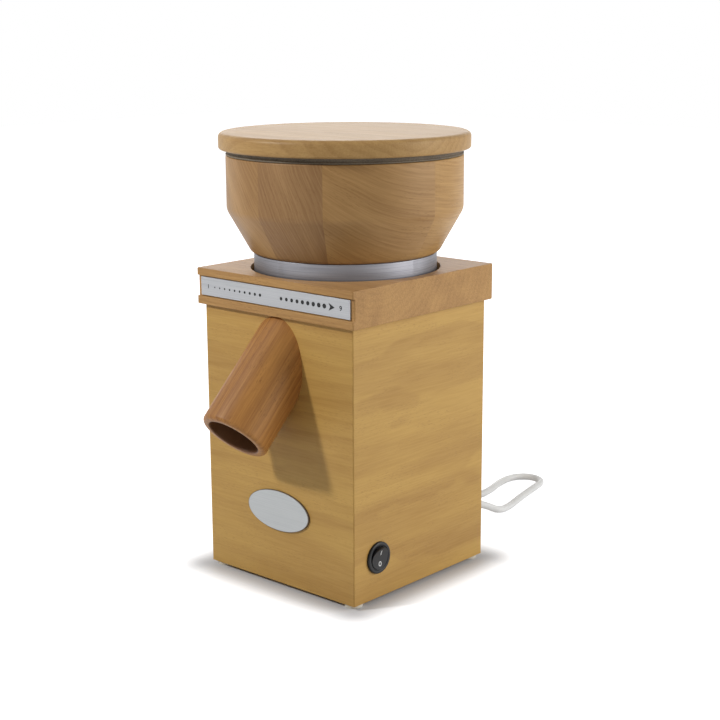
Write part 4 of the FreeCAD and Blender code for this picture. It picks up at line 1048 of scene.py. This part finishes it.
# %% [markdown]
# The inside of the spout is painted darker than its outside: painted shade, as the bore lies in
# shadow. A second material could be put on the bore, but the distance from the spout's own axis
# tells the two apart just as well.

# %% Painted shade in the bore of the spout
BORE_SHADE_COLOUR = (104, 66, 36)
BORE_EDGE = (0.0192, 0.0206)
tree, shader, where = inside_of(spout_wood)
apart = split(tree, stretched(tree, where, (1, 1, 1), SPOUT_CENTRED, SPOUT_TURN))
from_axis = vector_maths(tree, "LENGTH", join(tree, apart["Y"], apart["Z"]))
# The bore's darker colour is painted shade, laid over the wood within the bore.
overlay(tree, shader, span(tree, from_axis, *BORE_EDGE, 1.0, 0.0), colour(*BORE_SHADE_COLOUR))
print("bore darker within", BORE_EDGE[0] / MM, "mm of the axis")

# %% [markdown]
# ## The bowl's staves
# The hopper is turned from glued blocks, so its grain changes direction at each upright joint: steep
# lines on the left, long flat arcs on the right. One colour ramp with hard steps serves as a table: it
# turns the angle round the bowl into the slope, the curve, the tone and the start of the stave there.
# The rings are then lines in coordinates unrolled from that start, tipped by the slope and bowed by
# the curve.

# %% Stave table
STAVES = [
    (0.0, 0.50, 0.30, 0.55), (0.12, 0.60, 0.00, 0.55), (0.2426, 0.78, 0.15, 0.72),
    (0.3374, 0.37, 1.00, 0.42), (0.4935, 0.10, 0.40, 0.25), (0.60, 0.72, 0.10, 0.60),
    (0.70, 0.30, 0.60, 0.35), (0.80, 0.86, 0.00, 0.70), (0.90, 0.20, 0.50, 0.40),
]
bowl_wood, tree, shader, where = new_material("bowl_wood", Specular_IOR_Level=0.25)
apart = split(tree, where)
angle = maths(tree, "ARCTAN2", apart["Y"], apart["X"])
turn_share = maths(tree, "MULTIPLY_ADD", angle, 1 / (2 * math.pi), 0.5)
table = tree.nodes.new("ShaderNodeValToRGB")
table.color_ramp.interpolation = "CONSTANT"
while len(table.color_ramp.elements) < len(STAVES):
    table.color_ramp.elements.new(0.5)
for element, (start, slope, curve, tone) in zip(table.color_ramp.elements, STAVES):
    element.position = start
    element.color = (slope, curve, tone, start)
feed(tree, table.inputs[0], turn_share)
stave = add_node(tree, "ShaderNodeSeparateColor", {"Color": table.outputs["Color"]}).outputs
print("staves:", len(STAVES))

# %% Stave rings
STAVE_BEND = 3.0
STAVE_DEPTH = 3.0
WAVE_STRETCH = (14, 14, 22)
WIGGLE = 0.006
RING_PITCH = 0.0031
RING_UNEVEN = 1.6
from_joint = maths(tree, "SUBTRACT", turn_share, table.outputs["Alpha"])
unrolled = times(tree, from_joint, 2 * math.pi * BOWL_RADIUS * MM)
tilt = times(tree, stave["Red"], QUARTER)
sine = maths(tree, "SINE", tilt)
cosine = maths(tree, "COSINE", tilt)
waves = noise(tree, stretched(tree, where, WAVE_STRETCH), detail=2.0)
bow = times(tree, times(tree, times(tree, unrolled, unrolled), STAVE_BEND), stave["Green"])
across = maths(tree, "ADD", times(tree, unrolled, sine), times(tree, apart["Z"], cosine))
across = varied(tree, maths(tree, "SUBTRACT", across, bow), waves, WIGGLE)
along = maths(tree, "SUBTRACT", times(tree, unrolled, cosine), times(tree, apart["Z"], sine))
uneven = add_node(
    tree, "ShaderNodeTexNoise", {"W": across, "Scale": 90.0, "Detail": 1.0}, noise_dimensions="1D",
).outputs["Fac"]
count = maths(tree, "MULTIPLY_ADD", across, 1 / RING_PITCH, times(tree, uneven, RING_UNEVEN))
rings = ring_line(tree, count, 0.2, 0.85)
laid = join(tree, along, across, times(tree, stave["Green"], STAVE_DEPTH))
print("ring pitch:", RING_PITCH / MM, "mm")

# %% Stave colours
cut = use_group(tree, grain, {"Vector": laid, "Ring width": 0.02, "Wander": 0.02, "Seed": 31.0})
tone = stave["Blue"]
finish = use_group(tree, timber, {
    "Rings": times(tree, rings, span(tree, cut["Clouds"], 0.3, 0.6, 0.45, 1.0)),
    "Fibres": cut["Fibres"], "Rays": cut["Rays"],
    "Clouds": maths(tree, "MULTIPLY_ADD", tone, 0.5, times(tree, cut["Clouds"], 0.6)),
    "Light": blend_colour(tree, tone, colour(198, 156, 92), colour(184, 146, 104)),
    "Dark": blend_colour(tree, tone, colour(138, 96, 48), colour(118, 84, 54)),
    "Ray colour": colour(100, 64, 36), "Ring strength": 0.11, "Fibre strength": 0.25,
    "Ray strength": 0.25, "Cloud strength": 0.5, "Gloss": 0.45,
})
put_on(tree, shader, finish, 0.3, BUMP_DEPTH)
print("bowl wood nodes:", len(tree.nodes))

# %% [markdown]
# ## Metals
# Brushed metal has fine scratches in one direction, straight on the strip and round on the turned
# collar. One group draws scratches and smudges from coordinates in which X runs along the brush marks.

# %% Metal group
brushed, brushed_in, brushed_out = new_group(
    "Brushed metal",
    [
        ("Vector", VECTOR, None), ("Light", COLOUR, None), ("Dark", COLOUR, None),
        ("Base roughness", FLOAT, 0.35),
    ],
    FINISH_OUTPUTS,
)
SCRATCH_STRETCH = (18, 2600, 2600)
SMUDGE_STRETCH = (24, 24, 24)
lines = noise(brushed, stretched(brushed, brushed_in["Vector"], SCRATCH_STRETCH), roughness=0.65)
smudge = noise(brushed, stretched(brushed, brushed_in["Vector"], SMUDGE_STRETCH))
feed(brushed, brushed_out["Color"], blend_colour(
    brushed, span(brushed, lines, 0.3, 0.7), brushed_in["Dark"], brushed_in["Light"],
))
rough = varied(brushed, brushed_in["Base roughness"], lines, 0.2)
feed(brushed, brushed_out["Roughness"], varied(brushed, rough, smudge, 0.12, clamp=True))
feed(brushed, brushed_out["Height"], lines)
print("metal group nodes:", len(brushed.nodes))

# %% Metals
SCRATCH_DEPTH = 0.0001
SWING = 0.06
OTHER_NAMES = {"plate_metal": "strip_metal", "collar_alloy": "turned_alloy", "cord_white": "lead_white"}
ROUND = {"round_axis": True}
# Light and dark tone, roughness, and what differs from a plain metal with straight scratches.
METALS = {
    "plate_metal": ((188, 189, 191), (171, 173, 176), 0.42, {"metallic": 0.35}),
    "badge_metal": ((184, 187, 187), (172, 175, 176), 0.4, {"metallic": 0.35}),
    "collar_alloy": ((142, 141, 145), (114, 114, 119), 0.5, ROUND),
    "cast_alloy": ((176, 178, 182), (150, 152, 156), 0.55, {"round_axis": True, "bump": 0.3}),
    "zinc_steel": ((196, 200, 204), (160, 165, 172), 0.32, ROUND),
    "nickel_pins": ((212, 210, 202), (186, 184, 176), 0.22, {"turn": (0, 0, QUARTER)}),
    "brass_parts": ((214, 178, 96), (180, 142, 66), 0.34, {}),
    "guard_steel": ((202, 204, 206), (176, 179, 182), 0.3, {}),
    "lamination_steel": ((120, 124, 130), (84, 88, 94), 0.5, ROUND),
}


def metal_material(name, light, dark, roughness, turn=UNTURNED, round_axis=False, metallic=1.0, bump=0.08):
    """A brushed metal, with straight scratches or with scratches round the upright axis."""
    material, tree, shader, where = new_material(name, Metallic=metallic)
    if round_axis:
        apart = split(tree, where)
        swing = times(tree, maths(tree, "ARCTAN2", apart["Y"], apart["X"]), SWING)
        laid = join(tree, swing, far_from_axis(tree, apart["X"], apart["Y"]), apart["Z"])
    else:
        laid = stretched(tree, where, (1, 1, 1), turn=turn)
    put_on(tree, shader, use_group(tree, brushed, {
        "Vector": laid, "Light": colour(*light), "Dark": colour(*dark), "Base roughness": roughness,
    }), bump, SCRATCH_DEPTH)
    return material


metals = {
    slot: metal_material(OTHER_NAMES.get(slot, slot), light, dark, roughness, **rest)
    for slot, (light, dark, roughness, rest) in METALS.items()
}
print("metals:", len(metals))

# %% [markdown]
# ## Moulded and other finishes
# Plastics, rubber, felt, stone, copper wire and paint share one idea: a flat tone is never flat. A
# group adds slow unevenness of tone and gloss and a fine surface texture whose size is set per finish.

# %% Moulded group
moulded, moulded_in, moulded_out = new_group(
    "Uneven surface",
    [
        ("Vector", VECTOR, None), ("Light", COLOUR, None), ("Dark", COLOUR, None),
        ("Speckle size", FLOAT, 600.0), ("Speckle", FLOAT, 0.3), ("Base roughness", FLOAT, 0.4),
    ],
    FINISH_OUTPUTS,
)
SLOW_STRETCH = (30, 30, 30)
slow = noise(moulded, stretched(moulded, moulded_in["Vector"], SLOW_STRETCH))
fine = noise(moulded, moulded_in["Vector"], scale=moulded_in["Speckle size"], roughness=0.6)
share = times(moulded, span(moulded, fine, 0.35, 0.65), moulded_in["Speckle"])
share = maths(moulded, "MULTIPLY_ADD", span(moulded, slow, 0.35, 0.65), 0.35, share, clamp=True)
feed(moulded, moulded_out["Color"], blend_colour(moulded, share, moulded_in["Light"], moulded_in["Dark"]))
feed(moulded, moulded_out["Roughness"], varied(
    moulded, moulded_in["Base roughness"], slow, 0.25, clamp=True,
))
feed(moulded, moulded_out["Height"], fine)
print("moulded group nodes:", len(moulded.nodes))

# %% Moulded finishes
WHITE_PLASTIC = (232, 232, 230)
DULL = {"Specular_IOR_Level": 0.3}
# Light and dark tone, roughness, size and strength of the speckles, bump, other plain numbers.
MOULDED = {
    "switch_black": ((19, 19, 21), (11, 11, 13), 0.34, 900, 0.3, 0.03, DULL),
    "rocker_black": ((24, 24, 26), (15, 15, 17), 0.38, 1200, 0.4, 0.06, DULL),
    "cord_white": (WHITE_PLASTIC, (214, 213, 209), 0.42, 400, 0.2, 0.03, {}),
    "plug_white": (WHITE_PLASTIC, (216, 215, 210), 0.38, 900, 0.25, 0.08, {}),
    "tie_black": ((40, 40, 42), (24, 24, 26), 0.6, 1400, 0.5, 0.2, {}),
    "foot_rubber": ((222, 216, 202), (196, 188, 170), 0.6, 900, 0.4, 0.1, {}),
    "seal_felt": ((206, 200, 186), (176, 168, 152), 0.95, 1600, 0.8, 0.6, {}),
    "seal_rubber": ((122, 110, 92), (84, 74, 60), 0.75, 900, 0.4, 0.2, {}),
    "stone": ((196, 192, 182), (132, 128, 120), 0.9, 1500, 0.9, 0.9, {}),
    "slip_plastic": ((226, 224, 214), (206, 203, 190), 0.35, 700, 0.2, 0.05, {}),
    "motor_paint": ((66, 72, 78), (48, 53, 58), 0.45, 1100, 0.4, 0.3, {}),
    "winding_copper": ((176, 98, 52), (112, 56, 30), 0.35, 1800, 0.9, 0.8, {"Metallic": 0.7}),
    "fan_plastic": ((50, 52, 56), (36, 38, 42), 0.45, 900, 0.3, 0.1, {}),
    "capacitor_shell": ((214, 214, 208), (190, 190, 182), 0.4, 700, 0.2, 0.05, {}),
    "terminal_plastic": ((228, 226, 216), (204, 202, 190), 0.45, 900, 0.3, 0.1, {}),
}


def moulded_material(name, light, dark, roughness, size, speckle, bump, constants):
    material, tree, shader, where = new_material(name, **constants)
    put_on(tree, shader, use_group(tree, moulded, {
        "Vector": where, "Light": colour(*light), "Dark": colour(*dark), "Speckle size": size,
        "Speckle": speckle, "Base roughness": roughness,
    }), bump, BUMP_DEPTH)
    return material


others = {slot: moulded_material(OTHER_NAMES.get(slot, slot), *values) for slot, values in MOULDED.items()}
print("moulded finishes:", len(others))

# %% [markdown]
# ## Hand out the finishes
# Each new piece and each measured node names a slot, and one table says which material a slot gets.

# %% Painted shade round the badge's edge
BADGE_EDGE_SHADE = (96, 84, 70)
SHADE_EDGE_SPAN = (0.965, 0.99)
tree, shader, where = inside_of(metals["badge_metal"])
oval_scale = (1 / badge_half[0], 0, 1 / badge_half[1])
oval = stretched(tree, where, oval_scale, (0, 0, -badge_middle / badge_half[1]))
# The thin dark line at the oval's rim is painted contact shade where the badge meets the board.
overlay(tree, shader, span(tree, vector_maths(tree, "LENGTH", oval), *SHADE_EDGE_SPAN), colour(*BADGE_EDGE_SHADE))
print("badge line starts at", SHADE_EDGE_SPAN[0], "of its half size")

# %% Finishes on pieces and nodes
finishes = {
    "casing_wood": casing_front, "cover_wood": cover_wood, "spout_wood": spout_wood, "bowl_wood": bowl_wood,
    "lid_wood": lid_wood, "inner_wood": inner_wood, **metals, **others,
}
by_piece = {"board_right": casing_side, "board_left": casing_side}


def paint(item, material):
    item.data.materials.clear()
    item.data.materials.append(material)


for name, piece in pieces.items():
    paint(piece, by_piece.get(name, finishes[piece["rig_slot"]]))
paint(mains_lead, finishes["cord_white"])

node_slots = {entry["node"]: entry["material_slot"] for entry in frame["record"]["subparts"]}
unpainted = []
for name, item in frame["nodes"].items():
    slot = node_slots.get(name)
    if slot not in finishes or not item.material_slots:
        unpainted.append((name, slot))
        continue
    for place in item.material_slots:
        place.material = finishes[slot]
print("nodes without a finish:", unpainted)

# %% [markdown]
# ## Floor, light and background
# The photograph was taken on white paper under soft lamps. A small lamp high on the left casts the
# spout's shadow, broad ones on the right and behind light the other faces, and an even white sky fills
# the rest. The paper must look white without lighting the wood more, so its brightness is added only
# for the rays that the camera or a reflection sends. That brightness fades out towards the casing, so
# the paper is darker all round the base: painted shade, over which the machine's own shadow also falls.

# %% Floor
FLOOR_HALF = 4
PAPER = (210, 211, 214)
SHADOW_REACH = 0.036
GLOW = 0.95


def seen_rays(tree):
    """1 for the rays that the camera, a reflection or a clear piece sends, 0 for rays that carry light."""
    path = tree.nodes.new("ShaderNodeLightPath").outputs
    seen = maths(tree, "MAXIMUM", path["Is Camera Ray"], path["Is Glossy Ray"])
    return maths(tree, "MAXIMUM", seen, path["Is Transmission Ray"])


floor_shape = bmesh.new()
bmesh.ops.create_grid(floor_shape, x_segments=1, y_segments=1, size=FLOOR_HALF)
floor = finish_mesh("paper_floor", floor_shape)
pieces.pop("paper_floor")
floor_material, tree, shader, where = new_material("paper", Roughness=0.9)
shader.inputs["Base Color"].default_value = colour(*PAPER)
shader.inputs["Emission Color"].default_value = (1, 1, 1, 1)
beyond = vector_maths(tree, "SUBTRACT", vector_maths(tree, "ABSOLUTE", where), (half_side, half_side, 0))
reach = vector_maths(tree, "LENGTH", vector_maths(tree, "MAXIMUM", beyond))
# Less glow close to the casing darkens the paper there: painted shade round the base.
glow = span(tree, reach, 0.0, SHADOW_REACH, 0.0, GLOW)
feed(tree, shader.inputs["Emission Strength"], times(tree, seen_rays(tree), glow))
paint(floor, floor_material)
print("paper glows fully from", SHADOW_REACH / MM, "mm beside the casing")

# %% Lamps and sky
AIM = Vector((0, 0, 0.16))
SKY = 0.22
LAMPS = (
    {"name": "left_lamp", "towards": (-0.367, -0.734, 0.572), "distance": 1.2, "size": 0.105, "power": 7.5},
    {"name": "right_lamp", "towards": (0.87, 0.5, 0.32), "distance": 1.8, "size": 1.2, "power": 21},
    {"name": "back_lamp", "towards": (-0.67, 0.74, 0.42), "distance": 1.9, "size": 1.3, "power": 7},
)


def lamp(name, towards, distance, size, power):
    """A square lamp that looks at the machine from a direction."""
    light = bpy.data.lights.new(name, "AREA")
    light.shape = "SQUARE"
    light.size = size
    light.energy = power
    item = bpy.data.objects.new(name, light)
    direction = Vector(towards).normalized()
    item.location = AIM + direction * distance
    item.rotation_euler = direction.to_track_quat("Z", "Y").to_euler()
    scene.collection.objects.link(item)


for settings in LAMPS:
    lamp(**settings)

world = bpy.data.worlds.new("white_room")
world.use_nodes = True
scene.world = world
tree = world.node_tree
background = tree.nodes["Background"]
feed(tree, background.inputs["Color"], (1, 1, 1, 1))
feed(tree, background.inputs["Strength"], maths(tree, "MULTIPLY_ADD", seen_rays(tree), 1 - SKY, SKY))
